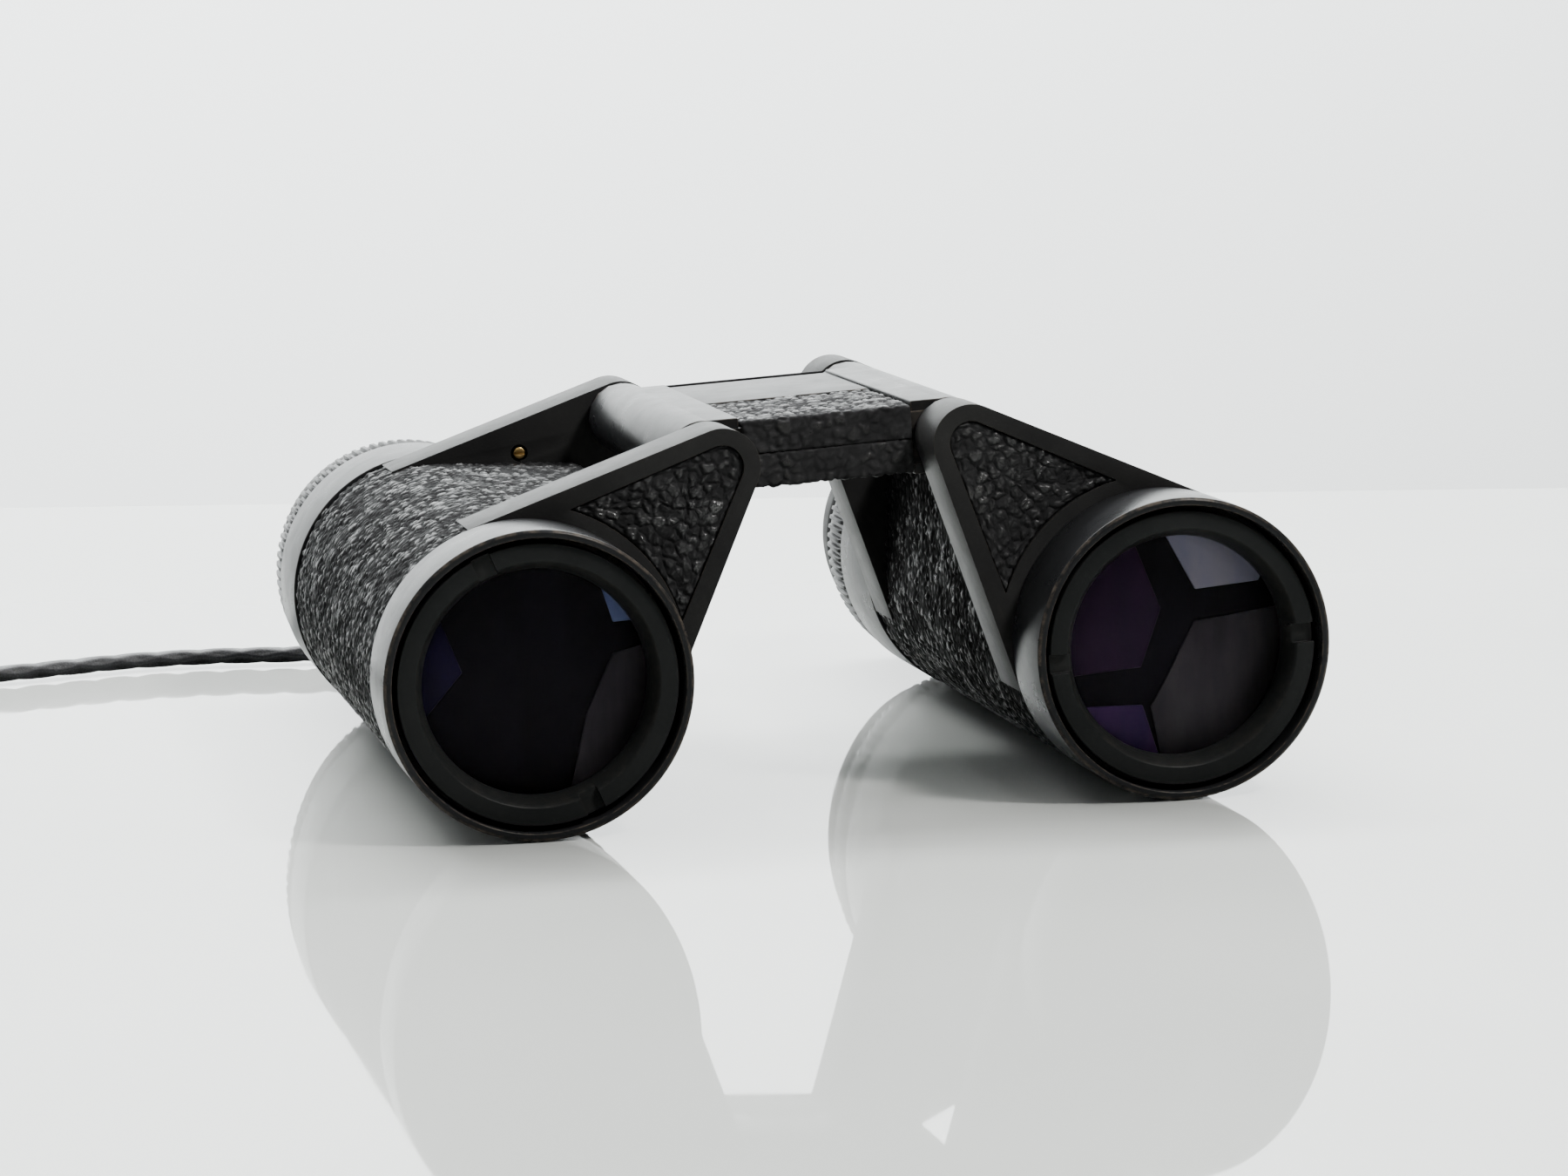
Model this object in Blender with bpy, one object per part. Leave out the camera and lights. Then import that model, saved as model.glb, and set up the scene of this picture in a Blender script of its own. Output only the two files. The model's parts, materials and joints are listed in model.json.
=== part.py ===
"""Pocket binoculars with two barrels that fold on a double-hinge bridge.

Lengths below are in millimetres and turn into metres when a mesh is made.
Y runs along the barrels: 0 is the plane of the two objective rims and +Y
points to the eyepieces. Z is up and 0 is the surface that the barrels lie on.
The whole object is shifted along Y at the end, so that its origin is the
centre of its base.
"""

import math

import bmesh
import bpy
from mathutils import Vector

# ---------------------------------------------------------------- dimensions
MM = 0.001
GAP = 0.3                 # clearance between pieces that sit on each other

RIM_R = 15.0              # objective rim, outside
AXIS_Z = RIM_R            # height of the optical axes above the base
SPACING = 64.2            # distance between the optical axes
ARM = 27.7                # optical axis to hinge axis
LEFT_ARM_DEG = 43.2       # arm above the horizontal, left barrel
RIGHT_ARM_DEG = 47.0      # arm above the horizontal, right barrel
LENGTH = 98.6             # rim face to eyecup face

TUBE_R = 14.05            # cast barrel tube
BORE_R = 12.75
LEATHER_R = 14.95
HULL_R = 14.95            # the arm's flanks run tangent to this circle
ARM_R = 3.82              # round end of each arm
KNUCKLE_R = 3.75
PIN_R = 1.9
RIDGE_ROUND = 1.1         # rounding of the ridge along the tube, towards the hinge
SHOULDER = 3.62           # half height of the flat bands beside the bridge's covers

FRONT_ARM = (9.4, 16.6)   # start and end of the front arm plate along Y
REAR_ARM = (60.2, 67.4)
COLLAR_END = 80.8
RING_Y = (81.1, 91.2)     # ribbed focusing ring
CUP_Y = (92.6, LENGTH)
KNUCKLE_Y = (17.9, 58.9)
BLOCK_Y = (17.7, 53.9)    # bridge block under its covers
BLOCK_HALF = 8.7          # half width of the covers between the knuckles
BLOCK_T = 2.7             # half thickness of the cast bridge block
COVER_T = 3.5             # half thickness over the covers
TOP_LEATHER_END = 34.0
TOP_PLATE_END = 52.5
INSET = 1.95              # width of the raised rim round an arm's inlay
INLAY_CUT_R = 16.3        # the inlay's concave side, about the optical axis

RIBS = 28
OUTER_SEGS = 40
INNER_SEGS = 24
SMALL_SEGS = 16

CORD_R = 1.1

LEFT_X, RIGHT_X = -SPACING / 2, SPACING / 2
Y_SHIFT = -LENGTH / 2


def polar(deg, radius):
    return radius * math.cos(math.radians(deg)), radius * math.sin(math.radians(deg))


_ax, _az = polar(LEFT_ARM_DEG, ARM)
HINGE_L = (LEFT_X + _ax, AXIS_Z + _az)
_ax, _az = polar(RIGHT_ARM_DEG, ARM)
HINGE_R = (RIGHT_X - _ax, AXIS_Z + _az)
HINGE_SPAN = math.hypot(HINGE_R[0] - HINGE_L[0], HINGE_R[1] - HINGE_L[1])
BRIDGE_TILT = math.atan2(HINGE_R[1] - HINGE_L[1], HINGE_R[0] - HINGE_L[0])
BRIDGE_MID = ((HINGE_L[0] + HINGE_R[0]) / 2, (HINGE_L[1] + HINGE_R[1]) / 2)

# ---------------------------------------------------------------- scene setup
for old in list(bpy.data.objects):
    bpy.data.objects.remove(old, do_unlink=True)

MATERIALS = {}


def material(name, color, rough, metal=0.0, transmission=0.0, ior=1.5):
    if name in MATERIALS:
        return MATERIALS[name]
    mat = bpy.data.materials.new(name)
    mat.use_nodes = True
    bsdf = mat.node_tree.nodes["Principled BSDF"]
    bsdf.inputs["Base Color"].default_value = (*color, 1.0)
    bsdf.inputs["Roughness"].default_value = rough
    bsdf.inputs["Metallic"].default_value = metal
    bsdf.inputs["Transmission Weight"].default_value = transmission
    bsdf.inputs["IOR"].default_value = ior
    MATERIALS[name] = mat
    return mat


LOOKS = {
    "satin_black": ((0.030, 0.031, 0.033), 0.38, 0.0),
    "matte_black": ((0.018, 0.018, 0.019), 0.60, 0.0),
    "gloss_black": ((0.020, 0.020, 0.022), 0.25, 0.0),
    "leather_black": ((0.022, 0.022, 0.022), 0.48, 0.0),
    "coated_glass": ((0.30, 0.22, 0.50), 0.02, 0.0, 1.0, 1.52),
    "prism_glass": ((0.90, 0.95, 0.95), 0.02, 0.0, 1.0, 1.57),
    "steel": ((0.45, 0.45, 0.46), 0.30, 1.0),
    "brass": ((0.60, 0.42, 0.16), 0.35, 1.0),
    "rubber_black": ((0.020, 0.020, 0.021), 0.75, 0.0),
    "washer_steel": ((0.10, 0.10, 0.105), 0.35, 1.0),
    "cord_black": ((0.020, 0.021, 0.024), 0.65, 0.0),
}


# ---------------------------------------------------------------- frames
class Side:
    """A barrel's own frame: a runs from the optical axis to the hinge, b across."""

    def __init__(self, name, cx, deg, mirror):
        self.name, self.cx, self.mirror = name, cx, mirror
        self.c, self.s = math.cos(math.radians(deg)), math.sin(math.radians(deg))

    def to_world(self, a, b):
        x = a * self.c - b * self.s
        return self.cx + (-x if self.mirror else x), AXIS_Z + a * self.s + b * self.c

    @property
    def hinge(self):
        return self.to_world(ARM, 0.0)


LEFT = Side("left", LEFT_X, LEFT_ARM_DEG, False)
RIGHT = Side("right", RIGHT_X, RIGHT_ARM_DEG, True)


def bridge_to_world(p, q):
    c, s = math.cos(BRIDGE_TILT), math.sin(BRIDGE_TILT)
    return BRIDGE_MID[0] + p * c - q * s, BRIDGE_MID[1] + p * s + q * c


# ---------------------------------------------------------------- mesh tools
def finish(name, bm, origin, look, smooth=30.0):
    """Make the object, with its origin at (x, y, z) in millimetres."""
    bmesh.ops.remove_doubles(bm, verts=bm.verts[:], dist=1e-5)
    bmesh.ops.recalc_face_normals(bm, faces=bm.faces[:])
    ox, oy, oz = origin
    for v in bm.verts:
        v.co = Vector(((v.co.x - ox) * MM, (v.co.y - oy) * MM, (v.co.z - oz) * MM))
    mesh = bpy.data.meshes.new(name)
    bm.to_mesh(mesh)
    bm.free()
    obj = bpy.data.objects.new(name, mesh)
    bpy.context.scene.collection.objects.link(obj)
    obj.location = (ox * MM, (oy + Y_SHIFT) * MM, oz * MM)
    mesh.shade_smooth()
    mesh.set_sharp_from_angle(angle=math.radians(smooth))
    mesh.materials.append(material(look, *LOOKS[look]))
    return obj


def turned(profile, cx, cz, segs, phase=0.0):
    """Turn a closed (y, r) outline about a Y axis. Points at r = 0 close on it."""
    bm = bmesh.new()
    rings = []
    for y, r in profile:
        if r <= 1e-6:
            rings.append([bm.verts.new((cx, y, cz))])
            continue
        rings.append(
            [
                bm.verts.new(
                    (
                        cx + r * math.cos(2 * math.pi * (i + phase) / segs),
                        y,
                        cz + r * math.sin(2 * math.pi * (i + phase) / segs),
                    )
                )
                for i in range(segs)
            ]
        )
    for j in range(len(rings)):
        one, two = rings[j], rings[(j + 1) % len(rings)]
        if len(one) == 1 and len(two) == 1:
            continue
        for i in range(segs):
            k = (i + 1) % segs
            if len(one) == 1:
                bm.faces.new((one[0], two[k], two[i]))
            elif len(two) == 1:
                bm.faces.new((one[i], one[k], two[0]))
            else:
                bm.faces.new((one[i], one[k], two[k], two[i]))
    bmesh.ops.recalc_face_normals(bm, faces=bm.faces[:])
    return bm


def prism(points, y0, y1):
    """Extrude an (x, z) outline along Y."""
    bm = bmesh.new()
    low = [bm.verts.new((x, y0, z)) for x, z in points]
    high = [bm.verts.new((x, y1, z)) for x, z in points]
    bm.faces.new(low)
    bm.faces.new(high)
    for i in range(len(points)):
        k = (i + 1) % len(points)
        bm.faces.new((low[i], low[k], high[k], high[i]))
    bmesh.ops.recalc_face_normals(bm, faces=bm.faces[:])
    return bm


def boolean(bm, cutter, operation):
    """Exact Boolean of two bmeshes; both are used up."""
    objs = []
    for i, part in enumerate((bm, cutter)):
        mesh = bpy.data.meshes.new("operand")
        part.to_mesh(mesh)
        part.free()
        obj = bpy.data.objects.new("operand_%d" % i, mesh)
        bpy.context.scene.collection.objects.link(obj)
        objs.append(obj)
    mod = objs[0].modifiers.new("cut", "BOOLEAN")
    mod.operation, mod.object, mod.solver = operation, objs[1], "EXACT"
    graph = bpy.context.evaluated_depsgraph_get()
    graph.update()
    result = bpy.data.meshes.new_from_object(objs[0].evaluated_get(graph))
    out = bmesh.new()
    out.from_mesh(result)
    bpy.data.meshes.remove(result)
    for obj in objs:
        mesh = obj.data
        bpy.data.objects.remove(obj)
        bpy.data.meshes.remove(mesh)
    bmesh.ops.remove_doubles(out, verts=out.verts[:], dist=1e-4)
    bmesh.ops.dissolve_degenerate(out, edges=out.edges[:], dist=1e-4)
    return out


def cylinder(cx, cz, r, y0, y1, segs):
    return turned([(y0, 0), (y0, r), (y1, r), (y1, 0)], cx, cz, segs)


def rounded(points, radius, steps=4):
    """Round the corners of an outline that turn by more than 30 degrees."""
    out, n = [], len(points)
    for i, p in enumerate(points):
        a, b, c = Vector(points[i - 1]), Vector(p), Vector(points[(i + 1) % n])
        u, v = (a - b), (c - b)
        if u.length < 1e-6 or v.length < 1e-6 or math.pi - u.angle(v) < math.radians(30):
            out.append(tuple(p))
            continue
        d = min(radius, u.length * 0.45, v.length * 0.45)
        s, e = b + u.normalized() * d, b + v.normalized() * d
        for k in range(steps + 1):
            t = k / steps
            q = s * (1 - t) ** 2 + b * 2 * t * (1 - t) + e * t * t
            out.append((q.x, q.y))
    return out


# ---------------------------------------------------------------- arm outlines
def arm_outline(grow=0.0, steps=12):
    """Outline of an arm in the barrel's (a, b) frame, from flank to flank."""
    beta = math.acos((HULL_R - ARM_R) / ARM)
    pts = []
    for k in range(steps + 1):
        t = -beta + 2 * beta * k / steps
        pts.append((ARM + (ARM_R + grow) * math.cos(t), (ARM_R + grow) * math.sin(t)))
    r = HULL_R + grow
    back = grow / math.tan(beta / 2) if grow else 0.0
    for sign in (1, -1):
        n = (math.cos(beta), sign * math.sin(beta))
        t = (-math.sin(beta), sign * math.cos(beta))
        pts.append((n[0] * r + t[0] * back, n[1] * r + t[1] * back))
    return pts


def inlay_outline(shrink=0.0, steps=8):
    """Three-cornered field inside an arm's raised rim."""
    beta = math.acos((HULL_R - ARM_R) / ARM)
    r_apex, r_flank, r_cut = ARM_R - INSET + 0.3 - shrink, HULL_R - INSET - shrink, INLAY_CUT_R + shrink
    pts = []
    for k in range(steps + 1):
        t = -beta + 2 * beta * k / steps
        pts.append((ARM + r_apex * math.cos(t), r_apex * math.sin(t)))
    s = math.sqrt(r_cut * r_cut - r_flank * r_flank)
    corner = (
        r_flank * math.cos(beta) + s * math.sin(beta),
        r_flank * math.sin(beta) - s * math.cos(beta),
    )
    half = math.atan2(corner[1], corner[0])
    for k in range(steps + 1):
        t = half - 2 * half * k / steps
        pts.append((r_cut * math.cos(t), r_cut * math.sin(t)))
    return rounded(pts, 1.5)


def ridge_outline(r, steps=5):
    """Right-angled ridge from the tube towards the hinge, tangent to radius r."""
    tip, half = r * math.sqrt(2.0), math.radians(48.0)
    centre = tip - RIDGE_ROUND * math.sqrt(2.0)
    foot = (0.996 * r * math.cos(half), 0.996 * r * math.sin(half))
    pts = [(0.0, 0.0), (foot[0], -foot[1])]
    for k in range(steps + 1):
        t = math.radians(-45.0 + 90.0 * k / steps)
        pts.append((centre + RIDGE_ROUND * math.cos(t), RIDGE_ROUND * math.sin(t)))
    pts.append(foot)
    return pts


# ---------------------------------------------------------------- barrels
def barrel(side):
    cx, name = side.cx, side.name
    hx, hz = side.hinge
    at_axis = (cx, 0.0, AXIS_Z)
    at_hinge = (hx, 0.0, hz)
    put = side.to_world

    def world(points):
        return [put(a, b) for a, b in points]

    # Cast tube with its two arms, bored for the optics and for the hinge pin.
    body = turned(
        [(4.2, 0), (4.2, TUBE_R), (74.0, TUBE_R), (74.0, 0)], cx, AXIS_Z, OUTER_SEGS
    )
    for y0, y1 in (FRONT_ARM, REAR_ARM):
        body = boolean(body, prism(world(arm_outline()), y0, y1), "UNION")
    body = boolean(body, prism(world(ridge_outline(TUBE_R)), FRONT_ARM[1] - 0.2, REAR_ARM[0] + 0.2), "UNION")
    bore = turned(
        [(0, 0), (0, 13.55), (14.5, 13.55), (14.5, BORE_R), (80, BORE_R), (80, 0)],
        cx, AXIS_Z, OUTER_SEGS, 0.5,
    )
    body = boolean(body, bore, "DIFFERENCE")
    body = boolean(body, cylinder(hx, hz, PIN_R + GAP, 12.0, 64.6, SMALL_SEGS), "DIFFERENCE")
    for y0, y1 in ((8.0, FRONT_ARM[0] + 1.2), (REAR_ARM[1] - 1.2, 70.0)):
        body = boolean(body, prism(world(inlay_outline()), y0, y1), "DIFFERENCE")
    sx, sz = put(15.9 + 1.2, 5.2)
    body = boolean(body, cylinder(sx, sz, 0.92, REAR_ARM[0] - 1, REAR_ARM[0] + 3.3, 12), "DIFFERENCE")
    finish(name + "_barrel_body", body, at_hinge, "satin_black")

    # Leatherette wrapped round the tube, notched for the arms.
    wrap = turned(
        [
            (FRONT_ARM[0], TUBE_R + GAP), (FRONT_ARM[0], LEATHER_R),
            (REAR_ARM[1], LEATHER_R), (REAR_ARM[1], TUBE_R + GAP),
        ],
        cx, AXIS_Z, OUTER_SEGS,
    )
    ridge_y = (FRONT_ARM[1] + 0.1, REAR_ARM[0] - 0.1)
    wrap = boolean(wrap, prism(world(ridge_outline(LEATHER_R)), *ridge_y), "UNION")
    wrap = boolean(wrap, cylinder(cx, AXIS_Z, TUBE_R + GAP, 2.0, 75.0, OUTER_SEGS), "DIFFERENCE")
    wrap = boolean(wrap, prism(world(ridge_outline(TUBE_R + GAP)), 12.0, 66.0), "DIFFERENCE")
    notch = arm_outline(GAP)
    for y0, y1 in ((5.0, FRONT_ARM[1] + GAP), (REAR_ARM[0] - GAP, 72.0)):
        wrap = boolean(wrap, prism(world(notch), y0, y1), "DIFFERENCE")
    finish(name + "_barrel_leather", wrap, at_hinge, "leather_black")

    field = world(inlay_outline(GAP))
    finish(name + "_front_arm_leather", prism(field, FRONT_ARM[0] + 0.15, FRONT_ARM[0] + 0.9), at_hinge, "leather_black")
    finish(name + "_rear_arm_leather", prism(field, REAR_ARM[1] - 0.9, REAR_ARM[1] - 0.15), at_hinge, "leather_black")

    # Objective end.
    rim = turned(
        [
            (0.0, 14.25), (0.0, 14.75), (0.25, RIM_R), (9.1, RIM_R),
            (9.1, TUBE_R + GAP), (3.9, TUBE_R + GAP), (3.9, 14.2), (0.2, 14.2),
        ],
        cx, AXIS_Z, OUTER_SEGS,
    )
    finish(name + "_objective_rim", rim, at_axis, "satin_black")
    ring = turned(
        [(0.7, 11.95), (0.7, 13.6), (3.5, 13.6), (3.5, 11.0), (3.2, 10.95), (1.0, 11.75)],
        cx, AXIS_Z, OUTER_SEGS, 0.5,
    )
    slot_deg = 113.0 if side is LEFT else 4.0
    c, s = math.cos(math.radians(slot_deg)), math.sin(math.radians(slot_deg))
    box = [(u * c - v * s + cx, u * s + v * c + AXIS_Z) for u, v in ((-15, -0.95), (15, -0.95), (15, 0.95), (-15, 0.95))]
    ring = boolean(ring, prism(box, 0.0, 1.4), "DIFFERENCE")
    finish(name + "_objective_ring", ring, at_axis, "matte_black")
    cell = turned(
        [(3.8, 12.3), (3.8, 13.25), (14.2, 13.25), (14.2, 11.0), (9.6, 11.0), (9.6, 12.3)],
        cx, AXIS_Z, INNER_SEGS,
    )
    finish(name + "_objective_cell", cell, at_axis, "matte_black")

    crown = turned(
        [(4.0, 0), (4.12, 4.0), (4.45, 8.0), (5.0, 12.0), (6.1, 12.0), (6.9, 8.0), (7.3, 4.0), (7.45, 0)],
        cx, AXIS_Z, INNER_SEGS,
    )
    finish(name + "_objective_crown", crown, at_axis, "coated_glass")
    flint = turned(
        [(7.75, 0), (7.6, 4.0), (7.2, 8.0), (6.4, 12.0), (9.3, 12.0), (9.3, 0)],
        cx, AXIS_Z, INNER_SEGS,
    )
    finish(name + "_objective_flint", flint, at_axis, "coated_glass")

    # Roof prism pair on its shelf, and the field stop behind it.
    def framed(y0, y1, hole, look, label):
        finish(
            name + label,
            turned([(y0, hole), (y0, 12.4), (y1, 12.4), (y1, hole)], cx, AXIS_Z, INNER_SEGS),
            at_axis, look,
        )

    framed(27.0, 28.6, 7.2, "matte_black", "_prism_shelf")
    framed(60.6, 62.2, 5.6, "matte_black", "_field_stop")

    def block(profile, half):
        """Extrude a (y, z) outline along X, centred on the optical axis."""
        bm = bmesh.new()
        one = [bm.verts.new((cx - half, y, AXIS_Z + z)) for y, z in profile]
        two = [bm.verts.new((cx + half, y, AXIS_Z + z)) for y, z in profile]
        bm.faces.new(one)
        bm.faces.new(two)
        for i in range(len(profile)):
            k = (i + 1) % len(profile)
            bm.faces.new((one[i], one[k], two[k], two[i]))
        return bm

    finish(name + "_prism_front", block([(29.0, -8.0), (29.0, 8.0), (33.0, 9.0), (43.4, -1.0), (36.5, -9.0)], 7.5), at_axis, "prism_glass")
    finish(name + "_prism_rear", block([(43.9, -0.6), (34.2, 8.6), (38.0, 9.2), (59.6, 7.0), (59.6, -7.0), (52.5, -8.4)], 7.5), at_axis, "prism_glass")

    # Rear collar, ribbed focusing ring, ocular and eyecup.
    collar = turned(
        [
            (67.7, TUBE_R + GAP), (67.7, RIM_R), (80.0, RIM_R), (COLLAR_END, 14.6),
            (COLLAR_END, 13.2), (74.3, 13.2), (74.3, TUBE_R + GAP),
        ],
        cx, AXIS_Z, OUTER_SEGS,
    )
    finish(name + "_rear_collar", collar, at_axis, "satin_black")

    bm = bmesh.new()
    count = RIBS * 2
    y0, y1 = RING_Y
    stations = [
        (y0, 12.9, 0.0), (y0, 14.35, 0.0), (y0 + 0.6, 14.4, 0.45), (y0 + 6.6, 14.2, 0.45),
        (y0 + 8.6, 13.9, 0.3), (y1, 13.2, 0.0), (y1, 11.5, 0.0),
        (y0 + 7.8, 11.5, 0.0), (y0 + 7.8, 12.9, 0.0),
    ]
    rings = []
    for y, r, rib in stations:
        rings.append([])
        for i in range(count):
            a = 2 * math.pi * i / count
            rr = r + (rib if i % 2 else 0.0)
            rings[-1].append(bm.verts.new((cx + rr * math.cos(a), y, AXIS_Z + rr * math.sin(a))))
    for j in range(len(rings)):
        one, two = rings[j], rings[(j + 1) % len(rings)]
        for i in range(count):
            k = (i + 1) % count
            bm.faces.new((one[i], one[k], two[k], two[i]))
    finish(name + "_focus_ring", bm, at_axis, "satin_black", 25.0)

    tube = turned(
        [(76.5, 9.2), (76.5, 12.4), (86.4, 12.4), (86.4, 11.1), (96.2, 11.1), (96.2, 7.6), (95.2, 7.6), (95.2, 9.2)],
        cx, AXIS_Z, INNER_SEGS,
    )
    finish(name + "_ocular_tube", tube, at_axis, "matte_black")
    finish(
        name + "_field_lens",
        turned([(78.4, 0), (78.9, 5.0), (79.8, 8.85), (82.0, 8.85), (82.6, 5.0), (82.8, 0)], cx, AXIS_Z, INNER_SEGS),
        at_axis, "coated_glass",
    )
    finish(
        name + "_eye_lens",
        turned([(89.4, 0), (89.8, 5.0), (90.8, 8.85), (93.4, 8.85), (94.5, 5.0), (94.9, 0)], cx, AXIS_Z, INNER_SEGS),
        at_axis, "coated_glass",
    )
    cup = turned(
        [
            (CUP_Y[0], 11.45), (CUP_Y[0], 13.0), (CUP_Y[0] + 0.8, 13.35), (CUP_Y[0] + 3.2, 13.2),
            (CUP_Y[1] - 0.6, 12.7), (CUP_Y[1], 12.2), (CUP_Y[1], 10.9), (CUP_Y[1] - 0.7, 10.3),
            (CUP_Y[1] - 2.0, 9.6), (CUP_Y[1] - 2.0, 11.45),
        ],
        cx, AXIS_Z, INNER_SEGS,
    )
    finish(name + "_eyecup", cup, at_axis, "rubber_black")

    # Hinge pin, friction washers and the grub screw in the rear arm.
    finish(name + "_hinge_pin", cylinder(hx, hz, PIN_R, 12.3, 64.3, SMALL_SEGS), at_hinge, "steel")
    for label, y0, y1 in (("front", 16.9, 17.6), ("rear", 59.2, 59.9)):
        washer = turned(
            [(y0, PIN_R + GAP), (y0, 3.65), (y1, 3.65), (y1, PIN_R + GAP)], hx, hz, SMALL_SEGS
        )
        finish(name + "_washer_" + label, washer, at_hinge, "washer_steel")
    screw = cylinder(sx, sz, 0.62, REAR_ARM[0] - 0.2, REAR_ARM[0] + 3.0, 12)
    slot = prism([(sx - 1.5, sz - 0.15), (sx + 1.5, sz - 0.15), (sx + 1.5, sz + 0.15), (sx - 1.5, sz + 0.15)], REAR_ARM[0] - 1.0, REAR_ARM[0] + 0.2)
    finish(name + "_grub_screw", boolean(screw, slot, "DIFFERENCE"), (sx, REAR_ARM[0], sz), "brass")


barrel(LEFT)
barrel(RIGHT)


# ---------------------------------------------------------------- bridge
def on_bridge(points):
    return [bridge_to_world(p, q) for p, q in points]


def slab(p0, p1, q0, q1):
    return on_bridge([(p0, q0), (p1, q0), (p1, q1), (p0, q1)])


ROOT = (BRIDGE_MID[0], 0.0, BRIDGE_MID[1])
HALF_SPAN = HINGE_SPAN / 2
core = prism(slab(-HALF_SPAN, HALF_SPAN, -BLOCK_T, BLOCK_T), *BLOCK_Y)
for hx, hz in (HINGE_L, HINGE_R):
    core = boolean(core, cylinder(hx, hz, KNUCKLE_R, *KNUCKLE_Y, 28), "UNION")
for p0, p1 in ((-HALF_SPAN, -BLOCK_HALF - GAP), (BLOCK_HALF + GAP, HALF_SPAN)):
    core = boolean(core, prism(slab(p0, p1, -SHOULDER, SHOULDER), BLOCK_Y[0] + 0.2, BLOCK_Y[1] - 0.2), "UNION")
for hx, hz in (HINGE_L, HINGE_R):
    core = boolean(core, cylinder(hx, hz, PIN_R + GAP, 10.0, 66.0, SMALL_SEGS), "DIFFERENCE")
SCREW_AT = [(-4.5, 44.0), (4.5, 44.0)]


def upright(p, y, r, q0, q1, segs):
    """A round bar across the bridge's thickness, at (p, y)."""
    bm = bmesh.new()
    ends = []
    for q in (q0, q1):
        ring = []
        for i in range(segs):
            a = 2 * math.pi * i / segs
            x, z = bridge_to_world(p + r * math.cos(a), q)
            ring.append(bm.verts.new((x, y + r * math.sin(a), z)))
        ends.append(ring)
    bm.faces.new(ends[0])
    bm.faces.new(ends[1])
    for i in range(segs):
        k = (i + 1) % segs
        bm.faces.new((ends[0][i], ends[0][k], ends[1][k], ends[1][i]))
    bmesh.ops.recalc_face_normals(bm, faces=bm.faces[:])
    return bm


for p, y in SCREW_AT:
    core = boolean(core, upright(p, y, 1.5, -6.0, 0.5, 12), "DIFFERENCE")
finish("bridge_body", core, ROOT, "satin_black")


def wrap_leather(name, sign, y_end):
    """An L of leatherette: half of the front face and one broad face."""
    edge = BLOCK_HALF - 0.05
    front = prism(slab(-edge, edge, 0.08 * sign, COVER_T * sign), 17.0, 17.4)
    broad = prism(slab(-edge, edge, (BLOCK_T + GAP) * sign, COVER_T * sign), 17.0, y_end)
    bm = boolean(front, broad, "UNION")
    finish(name, bm, ROOT, "leather_black")


wrap_leather("bridge_leather_upper", 1, TOP_LEATHER_END)
wrap_leather("bridge_leather_lower", -1, TOP_LEATHER_END)
plate = prism(slab(-BLOCK_HALF, BLOCK_HALF, BLOCK_T + GAP, COVER_T), TOP_LEATHER_END + GAP, TOP_PLATE_END)
finish("bridge_top_plate", plate, ROOT, "satin_black")
cover = prism(slab(-BLOCK_HALF, BLOCK_HALF, -BLOCK_T - GAP, -COVER_T), TOP_LEATHER_END + GAP, TOP_PLATE_END)
for p, y in SCREW_AT:
    cover = boolean(cover, upright(p, y, 1.5, -6.0, 0.0, 12), "DIFFERENCE")
finish("bridge_bottom_cover", cover, ROOT, "satin_black")
rear = prism(slab(-BLOCK_HALF, BLOCK_HALF, -COVER_T, COVER_T), BLOCK_Y[1] + GAP, BLOCK_Y[1] + 0.9)
finish("bridge_rear_leather", rear, ROOT, "leather_black")
for i, (p, y) in enumerate(SCREW_AT, 1):
    screw = upright(p, y, 1.2, -COVER_T + 0.05, 0.2, 12)
    sx0, sz0 = bridge_to_world(p, 0)
    slot = prism(slab(p - 2.0, p + 2.0, -COVER_T - 1.0, -COVER_T + 0.5), y - 0.15, y + 0.15)
    screw = boolean(screw, slot, "DIFFERENCE")
    finish("bridge_screw_%d" % i, screw, (sx0, y, sz0), "steel")

# ---------------------------------------------------------------- wrist cord
# An eye on the left barrel's rear collar, on the side that faces inwards.
LUG_DEG, LUG_Y, LUG_R = 25.0, 75.0, 17.6
E_R = Vector((math.cos(math.radians(LUG_DEG)), 0.0, math.sin(math.radians(LUG_DEG))))
E_T = Vector((-E_R.z, 0.0, E_R.x))
E_Y = Vector((0.0, 1.0, 0.0))
LUG_BASE = Vector((LEFT_X, 0.0, AXIS_Z))
LUG_EYE = LUG_BASE + E_R * LUG_R + E_Y * LUG_Y
LOOP_R, LOOP_T = 2.6, 0.8
FERRULE = (LUG_Y + 2 * LOOP_R + LOOP_T + GAP, 4.4)


def swept(rings):
    """Skin a list of closed rings, open at both ends, and cap the ends."""
    bm = bmesh.new()
    rows = [[bm.verts.new(p) for p in ring] for ring in rings]
    for one, two in zip(rows, rows[1:]):
        for i in range(len(one)):
            k = (i + 1) % len(one)
            bm.faces.new((one[i], one[k], two[k], two[i]))
    bm.faces.new(rows[0])
    bm.faces.new(rows[-1])
    bmesh.ops.recalc_face_normals(bm, faces=bm.faces[:])
    return bm


def eye_plate():
    """Flat eye in the plane of the barrel's length and radius."""
    y0, y1, base, r = LUG_Y - 3.2, LUG_Y + 3.2, RIM_R + GAP, 2.3
    pts = [(y1, base), (y1 - 0.4, base + 1.0)]
    pts += [(LUG_Y + r * math.cos(math.pi * k / 10), LUG_R + r * math.sin(math.pi * k / 10)) for k in range(0, 11)]
    pts += [(y0 + 0.4, base + 1.0), (y0, base)]
    plate = swept([[LUG_BASE + E_Y * y + E_R * q + E_T * t for y, q in pts] for t in (-0.7, 0.7)])
    hole = swept(
        [
            [LUG_EYE + E_Y * (1.25 * math.cos(math.pi * k / 7)) + E_R * (1.25 * math.sin(math.pi * k / 7)) + E_T * t for k in range(14)]
            for t in (-2.0, 2.0)
        ]
    )
    return boolean(plate, hole, "DIFFERENCE")


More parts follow.
